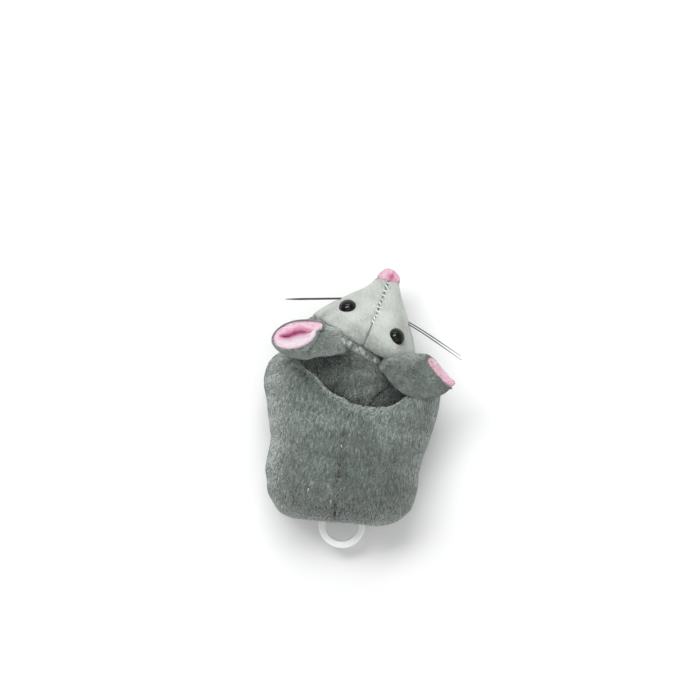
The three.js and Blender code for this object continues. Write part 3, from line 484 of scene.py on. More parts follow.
def pile_tree():
    """Strands of pile on a skin: denser, longer, leaning and clumped as its inputs and attributes say."""
    tree, given, result = new_tree("plush_pile", "GeometryNodeTree", {
        "Geometry": "Geometry", "Strand": "Object", "Density": "Float", "Length": "Float", "Width": "Float",
        "Lean": "Float", "Clump size": "Float", "Mess": "Float", "Tint spread": "Float", "Streak": "Float",
        "Brightest": "Float", "Seed": "Int", "Material": "Material"}, {"Geometry": "Geometry"})

    def attribute(name, kind="FLOAT"):
        found = node(tree, "GeometryNodeInputNamedAttribute", {"Name": name}, data_type=kind)
        return found.outputs["Attribute"]

    def math_of(operation, a, b):
        return node(tree, "ShaderNodeMath", {0: a, 1: b}, operation=operation).outputs[0]

    def vector_of(operation, a, b, out="Vector"):
        key = "Scale" if operation == "SCALE" else 1
        return node(tree, "ShaderNodeVectorMath", {0: a, key: b}, operation=operation).outputs[out]

    def random_of(low, high, offset):
        seed = math_of("ADD", given["Seed"], float(offset))
        return node(tree, "FunctionNodeRandomValue", {2: low, 3: high, 8: seed}).outputs[1]

    spread = node(tree, "GeometryNodeDistributePointsOnFaces", {
        "Mesh": given["Geometry"], "Density": math_of("MULTIPLY", given["Density"], attribute("pile")),
        "Seed": given["Seed"]})
    normal = spread.outputs["Normal"]
    place = node(tree, "GeometryNodeInputPosition").outputs[0]
    clump_scale = math_of("DIVIDE", 1.0, given["Clump size"])
    clump = node(tree, "ShaderNodeTexNoise", {"Vector": place, "Scale": clump_scale, "Detail": 2.0})
    swing = vector_of("SUBTRACT", clump.outputs["Color"], (0.5, 0.5, 0.5))
    jitter = node(tree, "FunctionNodeRandomValue",
                  {0: (-0.5, -0.5, -0.5), 1: (0.5, 0.5, 0.5), 8: given["Seed"]},
                  data_type="FLOAT_VECTOR").outputs[0]
    wild = vector_of("ADD", vector_of("SCALE", swing, 3.2), vector_of("SCALE", jitter, 0.7))
    lay = vector_of("ADD", attribute("flow", "FLOAT_VECTOR"), vector_of("SCALE", wild, given["Mess"]))
    lifted = vector_of("SCALE", normal, vector_of("DOT_PRODUCT", lay, normal, "Value"))
    lay = vector_of("NORMALIZE", vector_of("SUBTRACT", lay, lifted), (0, 0, 0))
    upright = math_of("SUBTRACT", 1.0, given["Lean"])
    aim = vector_of("ADD", vector_of("SCALE", normal, upright), vector_of("SCALE", lay, given["Lean"]))
    turned = node(tree, "FunctionNodeAxesToRotation", {0: aim, 1: lay}, primary_axis="Z", secondary_axis="X")
    length = math_of("MULTIPLY", given["Length"], random_of(0.7, 1.25, 1))
    length = math_of("MULTIPLY", length, attribute("long"))
    width = math_of("MULTIPLY", given["Width"], random_of(0.6, 1.4, 2))
    size = node(tree, "ShaderNodeCombineXYZ", {0: length, 1: width, 2: length}).outputs[0]
    drawn = vector_of("MULTIPLY", place, (1300.0, 420.0, 700.0))
    streaks = node(tree, "ShaderNodeTexNoise", {"Vector": drawn, "Scale": 1.0, "Detail": 1.0}).outputs["Fac"]
    streaks = math_of("MULTIPLY", math_of("SUBTRACT", streaks, 0.5), given["Streak"])
    tint = math_of("ADD", math_of("ADD", attribute("tint"), streaks),
                   math_of("MULTIPLY", random_of(-1.0, 1.0, 3), given["Tint spread"]))
    speck = math_of("GREATER_THAN", random_of(0.0, 1.0, 4), 1 - speck_share)
    tint = node(tree, "ShaderNodeClamp", {0: tint, "Min": 0.03, "Max": given["Brightest"]}).outputs[0]
    tint = math_of("MAXIMUM", tint, math_of("MULTIPLY", speck, speck_tint))
    rooted = node(tree, "GeometryNodeStoreNamedAttribute",
                  {"Geometry": spread.outputs["Points"], "Name": "tint", "Value": tint})
    strand = node(tree, "GeometryNodeObjectInfo", {"Object": given["Strand"]}).outputs["Geometry"]
    strands = node(tree, "GeometryNodeInstanceOnPoints", {
        "Points": rooted.outputs[0], "Instance": strand, "Rotation": turned.outputs[0], "Scale": size})
    both = node(tree, "GeometryNodeJoinGeometry", {0: given["Geometry"]})
    tree.links.new(strands.outputs[0], both.inputs[0])
    real = node(tree, "GeometryNodeRealizeInstances", {0: both.outputs[0]}).outputs[0]
    share = node(tree, "ShaderNodeSeparateXYZ", {0: attribute("strand", "FLOAT_VECTOR")})
    sideways = math_of("MULTIPLY", share.outputs[1], 0.02)
    chart = node(tree, "ShaderNodeCombineXYZ",
                 {0: share.outputs[0], 1: math_of("ADD", attribute("tint"), sideways)}).outputs[0]
    charted = node(tree, "GeometryNodeStoreNamedAttribute",
                   {"Geometry": real, "Name": "OFBake", "Value": chart}, data_type="FLOAT2", domain="CORNER")
    painted = node(tree, "GeometryNodeSetMaterial",
                   {"Geometry": charted.outputs[0], "Material": given["Material"]})
    tree.links.new(painted.outputs[0], result["Geometry"])
    return tree


tint_limits = (0.04, 0.96)
strand_object = strand_mesh()
plush_pile = pile_tree()


def settle(piece):
    """Works the piece's modifiers into its mesh."""
    depsgraph = bpy.context.evaluated_depsgraph_get()
    mesh = bpy.data.meshes.new_from_object(
        piece.evaluated_get(depsgraph), preserve_all_data_layers=True, depsgraph=depsgraph)
    piece.modifiers.clear()
    piece.data = mesh


def run_tree(piece, tree, inputs):
    """Works a geometry node tree into the piece's mesh."""
    modifier = piece.modifiers.new(tree.name, "NODES")
    modifier.node_group = tree
    sockets = {item.name: item.identifier for item in tree.interface.items_tree if item.in_out == "INPUT"}
    for name, value in inputs.items():
        modifier[sockets[name]] = value
    settle(piece)


def read_off(piece, key):
    """One row of numbers for each point of the piece."""
    found = np.empty(3 * len(piece.data.vertices), np.float32)
    piece.data.vertices.foreach_get(key, found)
    return found.reshape(-1, 3)


def give_pile(piece, material, masks, flow, tint, long=1.0, *, density, length, mess, spread, streak, seed,
              width=0.42, lean=0.62, clump=1.6, brightest=0.96):
    """Grows pile on a piece. Where it grows, its lay, its shade and its length are given per point."""
    count = len(piece.data.vertices)
    draws = np.random.default_rng(seed)
    # The skin under the strands takes the colour of their roots, with its painted shade.
    root = np.zeros((count, 3))
    root[:, 0] = draws.uniform(0.03, 0.2, count)
    shade = np.clip(tint + draws.uniform(-0.08, 0.08, count), *tint_limits)
    for name, kind, values in (
            ("pile", "FLOAT", masks), ("tint", "FLOAT", shade), ("long", "FLOAT", long),
            ("flow", "FLOAT_VECTOR", flow), ("strand", "FLOAT_VECTOR", root)):
        wide = 3 if kind == "FLOAT_VECTOR" else 1
        values = np.broadcast_to(np.asarray(values, np.float32).reshape(-1, wide), (count, wide))
        layer = piece.data.attributes.new(name, kind, "POINT")
        layer.data.foreach_set("vector" if wide == 3 else "value", np.ascontiguousarray(values).ravel())
    run_tree(piece, plush_pile, {
        "Strand": strand_object, "Density": density / MM**2, "Length": length * MM, "Width": width * MM,
        "Lean": lean, "Clump size": clump * MM, "Mess": mess, "Tint spread": spread, "Streak": streak,
        "Brightest": brightest, "Seed": seed, "Material": material})
    for name in ("pile", "long", "flow", "strand", "tint"):
        piece.data.attributes.remove(piece.data.attributes[name])
    points = read_off(piece, "co")
    points[:, 2] = np.maximum(points[:, 2], 0)
    piece.data.vertices.foreach_set("co", points.ravel())
    piece.data.update()


def strand_group():
    """The colour of pile: painted shade at a strand's root, fading along it to the tip, and the strand's own
    tint.
    """
    tree, given, result = new_tree(
        "strand_colour", "ShaderNodeTree",
        {name: "Color" for name in ("Root", "Tip", "Dark", "Middle", "Light", "Fleck")}, {"Color": "Color"})
    chart = node(tree, "ShaderNodeUVMap", uv_map="OFBake").outputs[0]
    place = node(tree, "ShaderNodeSeparateXYZ", {0: chart})

    def step_between(value, low, high):
        share = node(tree, "ShaderNodeMapRange", {"Value": value, "From Min": low, "From Max": high})
        return share.outputs[0]

    def mix(share, a, b, kind="MIX"):
        mixed = node(tree, "ShaderNodeMix", {0: share, 6: a, 7: b}, data_type="RGBA", blend_type=kind)
        return mixed.outputs[2]

    tone = mix(step_between(place.outputs[1], 0.0, 0.5), given["Dark"], given["Middle"])
    tone = mix(step_between(place.outputs[1], 0.5, 0.88), tone, given["Light"])
    tone = mix(step_between(place.outputs[1], 0.88, 1.0), tone, given["Fleck"])
    along = mix(step_between(place.outputs[0], 0.0, 0.85), given["Root"], given["Tip"])
    tree.links.new(mix(1.0, tone, along, "MULTIPLY"), result["Color"])
    return tree


strand_colour = strand_group()


def plush(name, dark, middle, light, fleck, root, tip):
    """Plush cloth: a pile whose strands differ a little, with painted shade at their roots, and a soft sheen.
    """
    material, tree, shader = finish_of(
        name, 0.9, sheen_weight=0.5, sheen_roughness=0.5, specular_ior_level=0.1)
    coloured_by(strand_colour, tree, shader, {
        "Root": (root, root, root, 1), "Tip": (tip, tip, tip, 1), "Dark": dark, "Middle": middle,
        "Light": light, "Fleck": fleck})
    return material


plush_grey = plush("plush_grey", linear(56, 64, 60), linear(112, 123, 116), linear(160, 170, 163),
                   linear(235, 238, 235), root=0.6, tip=1.08)


def points_of(piece):
    """The piece's points in millimetres, as three columns."""
    return (read_off(piece, "co") / MM).T.astype(float)


def facing_up(piece):
    """How far each point's surface faces up: 1 on a level top, 0 on an upright side."""
    return read_off(piece, "normal")[:, 2].astype(float)


def body_lay(x, y, z):
    """The lay of the body's pile: from the shoulders back to the rump, ruffled there, and over the seam."""
    rump = np.clip((-y - 12) / 12, 0, 1)
    over = -np.sign(x - back_seam) * 0.7 * hump(x - back_seam, 1.6) * (z > belly_seam)
    ruffled = np.random.default_rng(9).normal(size=(len(x), 3)) * (0.1 + 0.35 * rump)[:, None]
    sideways = 0.22 * ripple(x, y, z, 30, 6) + over
    return ruffled + np.stack([sideways, np.full(len(x), -1.0), -0.25 - 0.5 * rump], 1)


collar_painted_shading = [(-16, -0.26), (-9, -0.16), (-1, 0.1), (10, 0.24), (25, 0.34)]
right_shoulder = (20, 10)
left_ear_shadow = (-15.5, 27.5)
right_ear_shadow = (17, 20)
haunch_highlight = (18, -27)
rump_dark_patch = (4, -28)
body_pitch = 0.75
body_low, (gx, gy, gz) = grid_over((-34, -31, -0.6), (37, 38, 39.6), body_pitch)
body_grid = body_distance(gx, gy, gz, ahead_over(gx, gy))
body_wall = np.maximum(np.maximum(body_grid, -(body_grid + plush_wall)), -ring_slot(gx, gy, gz))
body_panels = {
    "back_left": np.maximum(gx - back_seam + half_gap, belly_seam + half_gap - gz),
    "back_right": np.maximum(back_seam + half_gap - gx, belly_seam + half_gap - gz),
    "belly": np.maximum(gz - belly_seam + half_gap, 0.3 - gz),
}
for number, (name, side) in enumerate(body_panels.items()):
    panel = made_piece(name + "_plush", *skin_mesh(np.maximum(body_wall, side), body_low, body_pitch))
    x, y, z = points_of(panel)
    ahead = ahead_of_collar(x, y)
    outside = body_distance(x, y, z, ahead)
    above = z > belly_seam
    hollow = (ahead > -0.5) & (z < collar_rim)
    rump = np.clip((-y - 8) / 14, 0, 1)
    pulled = sum(hump(np.hypot(x - back_seam, (y - pull) / 1.5), 1.1) for pull in stitch_pulls) * above

    # The nap's clouds, coarser and stronger at the rump, and a paler patch on the right shoulder.
    # Painted light: the whole body paler towards the nose and towards the left, the side the light comes
    # from.
    tint = 0.45 + 0.005 * y - 0.004 * x + 0.07 * ripple(x, y, z, 14, 7) + 0.04 * ripple(x, y, z, 4, 8)
    tint += (0.05 + 0.09 * rump) * ripple(x, y, z, 2, 12) + 0.08 * spot(x, y, right_shoulder, 8)
    # The rolled collar, with painted shade under the left ear and painted light under the right one.
    collar_shading = np.interp(x, *zip(*collar_painted_shading)) * hump(ahead + 1.5, 3.4)
    # A painted highlight along the collar's lip.
    collar_shading += (0.15 - 0.008 * x) * hump(ahead + 0.2, 0.7)
    tint += collar_shading * (z > collar_rim) - 0.26 * spot(x, y, left_ear_shadow, 4.5) * (z > 25)
    # Painted shade in the hollow under the right ear, in the pulled stitches and along the seam.
    tint -= 0.4 * hollow * spot(x, y, right_ear_shadow, 7)
    # A darker patch at the middle of the rump.
    tint -= 0.2 * hump(x - rump_dark_patch[0], 9) * hump(y - rump_dark_patch[1], 4)
    tint -= 0.6 * pulled + 0.12 * hump(x - back_seam, 0.9) * above
    # Painted light down the sides, for the nap's sheen at the edges, and a painted highlight on one haunch.
    tint += 0.5 * np.clip((0.74 - facing_up(panel)) / 0.5, 0, 1) * (z > 3)
    tint += 0.3 * spot(x, y, haunch_highlight, 6) * (z > 8)

    masks = np.clip(1 + (outside + 0.25) / 0.6, 0, 1) * np.where(hollow, 0.6 * (ahead < 9), 1)
    long = np.clip(1 - 0.6 * pulled, 0.3, 1) * np.where(hollow, 0.6, 1)
    give_pile(panel, plush_grey, masks, body_lay(x, y, z), tint, long,
              density=4.0 if name == "belly" else 7.0, length=2.4, mess=0.32, spread=0.04, streak=0.95,
              brightest=0.85, seed=11 + number)
    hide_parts(name + "_panel")
    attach(panel, "root")

# Head
# A cone of paler plush with hardly any pile, in a left and a right face panel over a chin panel,
# and two grey panels of longer pile behind the crease that reach down under the collar.
head_at = np.array([3.35, 38.4])
head_turn = math.radians(-18)
cosine, sine = math.cos(head_turn), math.sin(head_turn)
head_half_width = 21.5
head_length = 31.8
head_height = 42
nose_bend = 2.2
nose_share = 0.85
cheek_seam_shares = (0.36, 0.44)
head_section_shares = [
    (-0.5, 0.76, 0.72, 0.4, 0.12, 3.6), (-0.25, 0.88, 0.75, 0.4, 0.1, 3.6), (-0.1, 0.96, 0.83, 0.4, 0.09, 3),
    (-0.02, 1, 0.97, 0.42, 0.09, 2.3), (0.05, 0.99, 1, 0.43, 0.09, 2.2), (0.16, 0.93, 0.965, 0.44, 0.11, 2.2),
    (0.32, 0.79, 0.87, 0.45, 0.16, 2.2), (0.53, 0.565, 0.74, 0.465, 0.235, 2.2),
    (0.7, 0.35, 0.65, 0.475, 0.3, 2.2), (0.86, 0.2, 0.58, 0.48, 0.38, 2.2),
    (0.95, 0.12, 0.54, 0.48, 0.42, 2.2),
]
neck_seam_line = [(18.9, -1.5), (24.2, -0.1), (31.9, 0.1), (40.3, -2.4)]
neck_shadow = (15, 20)
neck_sink = 2.4
ear_sink = 2.2
face_pile_depth = 0.35
stitch_pitch = 2.07
head_sections = curve_through(head_section_shares, 10)


def in_head(x, y):
    """Places in the head's own directions: right and forward."""
    dx, dy = x - head_at[0], y - head_at[1]
    return dx * cosine + dy * sine, dy * cosine - dx * sine


def from_head(right, forward):
    """Places in the toy's directions, from the head's own."""
    return head_at[0] + right * cosine - forward * sine, head_at[1] + right * sine + forward * cosine


def head_sizes(forward):
    """Half width, middle, top and bottom of the head that far forward, and how square it is."""
    width, top, middle, bottom, fullness = [
        np.interp(forward / head_length, head_sections[:, 0], head_sections[:, k]) for k in range(1, 6)]
    return width * head_half_width, middle * head_height, top * head_height, bottom * head_height, fullness


def cheek_swell(right, share):
    """How much fuller the left cheek is than the right one."""
    return 1 + 0.07 * hump(share - 0.16, 0.26) * (right < 0) * np.clip(share / 0.06, 0, 1)


def head_form(x, y, z):
    """The plain cone of the head: zero on it, negative inside."""
    right, forward = in_head(x, y)
    half, middle, top, bottom, fullness = head_sizes(forward)
    share = forward / head_length
    right = right + nose_bend * np.maximum(share, 0) ** 2 - 0.5 * hump(share - 0.66, 0.16)
    half = half * cheek_swell(right, share) - face_pile_depth
    rise = np.where(z > middle, top - middle, middle - bottom) - face_pile_depth
    level = ((np.abs(right) / half) ** fullness + (np.abs(z - middle) / rise) ** fullness) ** (1 / fullness)
    return (level - 1) * half


def seam_place(right, forward):
    """How far right of the face's middle seam a place is."""
    return right + 0.8 * nose_bend * np.maximum(forward / head_length, 0) ** 2


def past_nose_seam(right, forward):
    """How far in front of the seam between face and nose a place is."""
    return forward - nose_share * head_length - 0.22 * (right + nose_bend * nose_share**2)


def crease_place(right, forward):
    """How far in front of the crease between face and neck a place is."""
    return forward - 0.3 + 0.1 * right


def under_right_ear(x, y):
    """How far a place lies under the right ear, from the line where the ear's root crosses the neck."""
    return (x - 9.4) * 0.855 + (y - 34.5) * 0.518


def under_left_ear(x, y):
    """How far a place lies behind the line of the left ear's lower edge."""
    return (x + 3.4) * 0.613 - (y - 39.2) * 0.79


def head_distance(x, y, z):
    """Distance from the head's plush, with its seams, crease and cheeks."""
    right, forward = in_head(x, y)
    distance = true_distance(head_form, x, y, z) + 0.3 * ripple(x, y, z, 19, 21)
    upper = z > cheek_seam_shares[1] * head_height
    seam = seam_place(right, forward)
    crease = crease_place(right, forward)
    stitched = 0.5 - 0.5 * np.cos(2 * np.pi * (forward - 10.2) / stitch_pitch)
    stitched = np.clip((forward - 9) / 2, 0, 1) * stitched
    distance = distance + (0.5 + 0.45 * stitched) * hump(seam, 0.7) * (crease > 0) * upper
    distance = distance + 1.5 * hump(crease, 0.9) * upper - 0.5 * hump(crease + 2.2, 1.4) * upper
    behind = crease < 0
    neck = x - np.interp(y, *zip(*neck_seam_line))
    sunk = neck_sink * np.clip(-(crease + 3) / 4, 0, 1) * upper
    sunk = sunk + ear_sink * np.clip(under_right_ear(x, y) / 1.5, 0, 1) * behind * upper
    return distance + sunk + 0.25 * hump(neck, 1.1) * behind * upper + 0.35 * ripple(x, y, z, 7, 22) * behind


head_pitch = 0.5
head_low, (gx, gy, gz) = grid_over((-21, 12, 2), (27, 67, 44), head_pitch)
head_grid = head_distance(gx, gy, gz)
body_near = body_distance(gx, gy, gz, ahead_over(gx, gy))
right, forward = in_head(gx, gy)
head_wall = np.maximum.reduce([
    head_grid, -(head_grid + plush_wall), seam_gap + 0.5 - body_near,
    past_nose_seam(right, forward) + half_gap, -0.62 * head_length - forward])
cheek = gz - np.interp(forward, (0, head_length), [share * head_height for share in cheek_seam_shares])
seam = seam_place(right, forward)
crease = crease_place(right, forward)
neck = gx - np.interp(gy, *zip(*neck_seam_line))
head_panels = {
    "face_left": np.maximum.reduce([seam + half_gap, half_gap - crease, half_gap - cheek]),
    "face_right": np.maximum.reduce([half_gap - seam, half_gap - crease, half_gap - cheek]),
    "neck_left": np.maximum.reduce([neck + half_gap, crease + half_gap, half_gap - cheek]),
    "neck_right": np.maximum.reduce([half_gap - neck, crease + half_gap, half_gap - cheek]),
    "chin": cheek + half_gap,
}
plush_pale = plush("plush_pale", linear(148, 155, 148), linear(210, 216, 209), linear(230, 234, 229),
                   linear(250, 251, 249), root=0.85, tip=1.04)


def head_lay(x, y, z):
    """The lay of the head's pile: from the nose back."""
    sway = 0.25 * ripple(x, y, z, 17, 23)
    return np.stack([sine + sway * cosine, -cosine + sway * sine, np.full(len(x), -0.15)], 1)


for number, (name, side) in enumerate(head_panels.items()):
    panel = made_piece(name + "_plush", *skin_mesh(np.maximum(head_wall, side), head_low, head_pitch))
    x, y, z = points_of(panel)
    right, forward = in_head(x, y)
    crease = crease_place(right, forward)
    masks = np.clip(1 + (head_distance(x, y, z) + 0.2) / 0.5, 0, 1)
    if name.startswith("neck"):
        masks = masks * (z > cheek_seam_shares[0] * head_height)
        frayed = hump(crease + 1.6, 1.0) * np.clip(0.75 + 0.6 * ripple(x, y, z, 1.4, 25), 0, 1) * (x > -5)
        # Painted shade and shadow under both ears, in front of the collar and on the neck's left side.
        in_shade = hump(under_left_ear(x, y) - 1.2, 2) * (x < 1)
        in_shade += np.clip(under_right_ear(x, y) / 1.5, 0, 1) * (y < 30)
        in_shade += 0.8 * hump(ahead_of_collar(x, y) - 1, 2.5) + 0.9 * spot(x, y, neck_shadow, 6)
        tint = 0.57 + 0.1 * ripple(x, y, z, 6, 24) + 0.9 * frayed - 0.42 * hump(under_right_ear(x, y), 1.6)
        tint -= (0.4 * np.clip((1 - x) / 7, 0, 1) + 0.36 * in_shade) * (crease < -2)
        long = np.clip((x + 20) / 6, 0.3, 1)
        give_pile(panel, plush_grey, masks, head_lay(x, y, z), tint, long, density=9.0, length=1.7, mess=0.7,
                  spread=0.08, streak=1.25, seed=31 + number)
    else:
        seam = seam_place(right, forward)
        # Random tone, with painted shade near the crease, stronger to the right, and along the middle seam.
        tint = 0.52 + 0.16 * ripple(x, y, z, 9, 26) - (0.33 + 0.018 * x) * hump(crease, 5.2) * (z > 26)
        tint -= 0.25 * hump(seam + 0.3, 0.8) * (z > 20)
        give_pile(panel, plush_pale, masks, head_lay(x, y, z), tint, density=13.0, length=0.75, width=0.3,
                  lean=0.72, clump=1.1, mess=0.45, spread=0.1, streak=0.5, seed=31 + number)
    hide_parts(name + "_panel")
    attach(panel, "root")

# Face seam stitches
# Short loops of pale thread that pull the two face panels together along the middle seam.
stitch_radius = 0.26
stitch_span = (0.32, 0.82)


def stitch_tree():
    """One thread loop at every step along a line, turned across it."""
    tree, given, result = new_tree("seam_stitches", "GeometryNodeTree", {
        "Geometry": "Geometry", "Loop": "Object", "Spacing": "Float", "Seed": "Int", "Material": "Material"},
        {"Geometry": "Geometry"})
    line = node(tree, "GeometryNodeMeshToCurve", {0: given["Geometry"]}).outputs[0]
    spaced = node(tree, "GeometryNodeResampleCurve", {"Curve": line, "Length": given["Spacing"]},
                  mode="LENGTH")
    tangent = node(tree, "GeometryNodeInputTangent").outputs[0]
    aim = node(tree, "FunctionNodeAxesToRotation", {0: (0, 0, 1), 1: tangent}, primary_axis="Z",
               secondary_axis="X")
    turn = node(tree, "FunctionNodeRandomValue",
                {0: (-0.12, -0.12, -0.5), 1: (0.12, 0.12, 0.5), 8: given["Seed"]},
                data_type="FLOAT_VECTOR").outputs[0]
    turned = node(tree, "FunctionNodeRotateRotation", {0: aim.outputs[0], 1: turn}, rotation_space="LOCAL")
    loop = node(tree, "GeometryNodeObjectInfo", {"Object": given["Loop"]}).outputs["Geometry"]
    loops = node(tree, "GeometryNodeInstanceOnPoints", {
        "Points": spaced.outputs[0], "Instance": loop, "Rotation": turned.outputs[0]})
    real = node(tree, "GeometryNodeRealizeInstances", {0: loops.outputs[0]})
    painted = node(tree, "GeometryNodeSetMaterial",
                   {"Geometry": real.outputs[0], "Material": given["Material"]})
    tree.links.new(painted.outputs[0], result["Geometry"])
    return tree


bow = np.linspace(0, np.pi, 9)
loop_line = np.stack([0.35 * np.cos(bow), 0.85 * np.cos(bow), 0.8 * np.sin(bow) - 0.1], 1)
thread_loop = made_piece("thread_loop", *loft(tube_rings(loop_line, stitch_radius, 6)))
scene.collection.objects.unlink(thread_loop)
seam_points = []
heights = np.linspace(20, 43, 200)
for share in np.linspace(*stitch_span, 30):
    x, y = from_head(-0.8 * nose_bend * share**2, share * head_length)
    within = head_distance(np.full(200, x), np.full(200, y), heights) < 0
    seam_points.append((x, y, heights[np.nonzero(within)[0][-1]]))
thread = grained("seam_thread", linear(226, 229, 224), 0.75, size=5000, amount=0.2, bump=0.2, vary=False)
face_stitches = made_piece("face_stitches", seam_points, [])
face_stitches.data.edges.add(len(seam_points) - 1)
for number, edge in enumerate(face_stitches.data.edges):
    edge.vertices = (number, number + 1)
run_tree(face_stitches, stitch_tree(),
         {"Loop": thread_loop, "Spacing": stitch_pitch * MM, "Seed": 5, "Material": thread})
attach(face_stitches, "root")

# Nose
# A small cap of pink plush gathered over the tip and pulled in by one stitch.
nose_radius = 4.1
nose_stitch = (0.7, 1.5)
nose_pitch = 0.3
nose_x, nose_y = from_head(-nose_bend * nose_share**2, nose_share * head_length)
nose_z = 0.478 * head_height


def nose_distance(x, y, z):
    """Distance from the nose's plush, with the dimple of its stitch."""
    right, forward = in_head(x, y)
    right, forward = right + nose_bend * nose_share**2, forward - nose_share * head_length
    ball = np.sqrt(right**2 + (forward / 1.05) ** 2 + (z - nose_z) ** 2) - nose_radius
    below = 9 * (z <= nose_z)
    dimple = 0.9 * hump(np.hypot(right - nose_stitch[0], forward - nose_stitch[1]) + below, 1.1)
    return ball + dimple + 0.25 * ripple(x, y, z, 6, 31)


nose_low, (gx, gy, gz) = grid_over(
    np.array([nose_x, nose_y, nose_z]) - 6, np.array([nose_x, nose_y, nose_z]) + 6, nose_pitch)
right, forward = in_head(gx, gy)
nose_field = np.maximum(nose_distance(gx, gy, gz), half_gap - past_nose_seam(right, forward))
nose = made_piece("nose_plush", *skin_mesh(nose_field, nose_low, nose_pitch))
x, y, z = points_of(nose)
right, forward = in_head(x, y)
plush_pink = plush("plush_pink", linear(214, 92, 158), linear(251, 188, 216), linear(255, 238, 247),
                   linear(255, 250, 253), root=0.94, tip=1.04)
# Painted shade in the dimple of the nose's stitch.
dimple = spot(right + nose_bend * nose_share**2, forward - nose_share * head_length, nose_stitch, 1.5)
masks = nose_distance(x, y, z) > -0.2
lay = np.stack([0 * x, -1 + 0 * y, -0.3 + 0 * z], 1)
tint = 0.65 - 0.55 * dimple * (z > nose_z) + 0.08 * ripple(x, y, z, 3, 32)
give_pile(nose, plush_pink, masks, lay, tint, density=16.0, length=0.8, width=0.32, lean=0.6, clump=0.9,
          mess=0.5, spread=0.05, streak=0.4, seed=41)
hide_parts("nose_cap")
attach(nose, "root")

# Eyes
# Glossy black domes on ribbed shanks, pushed through the face and held by a washer inside.
eye_radius = 3.3
eye_dome = 2.6
eye_sink = 0.4
eye_rim = 0.35
shank_radius = 1.1
shank_length = 6
shank_groove = 0.86 * shank_radius
shank_ribs = 5
rib_pitch = 0.7
eye_places = {"left": (0.368, math.radians(131)), "right": (0.29, math.radians(56))}


def head_point(along, angle):
    """A point on the head's outer form; angle 0 is its right side and a quarter turn its top."""
    half, middle, top, bottom, fullness = head_sizes(along * head_length)
    swing = [np.sign(f) * abs(f) ** (2 / fullness) for f in (math.cos(angle), math.sin(angle))]
    half *= cheek_swell(swing[0], along)
    rise = top - middle if angle < math.pi else middle - bottom
    right = swing[0] * half - nose_bend * max(along, 0) ** 2
    return np.array([*from_head(right, along * head_length), middle + swing[1] * rise])


eye_black = mottled("eye_black", 0.05, 700, linear(1, 1, 2), linear(5, 5, 6), specular_ior_level=0.32)

for side, (along, angle) in eye_places.items():
    at = head_point(along, angle)
    out = np.cross(head_point(along + 0.04, angle) - at, head_point(along, angle + 0.04) - at)
    out = out / np.linalg.norm(out) * np.sign(out[2])
    turn = np.array(Vector(out).to_track_quat("Z", "Y").to_matrix())
    profile = [(shank_radius * 0.7, -shank_length), (shank_radius, -shank_length + 0.4)]
    for rib in range(shank_ribs):
        level = -shank_length + 0.8 + rib * rib_pitch
        profile += [(shank_radius, level), (shank_groove, level + 0.15), (shank_groove, level + 0.4),
                    (shank_radius, level + 0.55)]
    profile += [(shank_radius, -0.6), (eye_radius * 0.6, -0.45), (eye_radius - eye_rim, -0.3)]
    profile += [(eye_radius - eye_rim + eye_rim * math.cos(a), eye_rim * math.sin(a))
                for a in np.linspace(-math.pi / 2, 0, 5)]
    profile += [(eye_radius * math.cos(a), eye_dome * math.sin(a))
                for a in np.linspace(0.05, math.pi / 2 - 0.03, 20)]
    angles = 2 * np.pi * np.arange(48) / 48
    rings = [np.stack([r * np.cos(angles), r * np.sin(angles), np.full(48, h)], 1) for r, h in profile]
    points, faces = loft(rings)
    points = points @ turn.T + at - out * eye_sink
    eye = made_piece(side + "_eye_dome", points, faces)
    eye.data.materials.append(eye_black)
    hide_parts(side + "_eye")
    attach(eye, "root")

# Whiskers
# Two nylon filaments threaded through the snout, each showing on both sides.
whisker_radius = 0.22
whisker_route_shares = {
    "front_whisker": [
        (-1.57, 0.22, 0.62), (-1.13, 0.43, 0.56), (-0.7, 0.635, 0.5), (-0.45, 0.75, 0.48), (0.58, 0.74, 0.5),
        (1.63, 0.58, 0.6)],
    "rear_whisker": [
        (-1.57, 0.2, 0.7), (-1.13, 0.41, 0.63), (-0.7, 0.615, 0.56), (-0.45, 0.73, 0.54), (0.6, 0.7, 0.56),
        (1.67, 0.52, 0.66)],
}
filament = grained("whisker_filament", linear(52, 48, 52), 0.35, size=3000, amount=0.25, bump=0.02)


def head_place(right, forward, up):
    """A place given in shares of the head's half width and height."""
    return np.array([*from_head(right * head_half_width, forward * head_half_width), up * head_height])


for name, shares in whisker_route_shares.items():
    line = curve_through([head_place(*share) for share in shares], 14)
    taper = np.interp(np.linspace(-1, 1, len(line)), [-1, -0.8, 0.8, 1], [0.35, 1, 1, 0.35]) * whisker_radius
    whisker = made_piece(name + "_filament", *loft(tube_rings(line, taper, 8)))
    whisker.data.materials.append(filament)
    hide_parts(name)
    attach(whisker, "root")

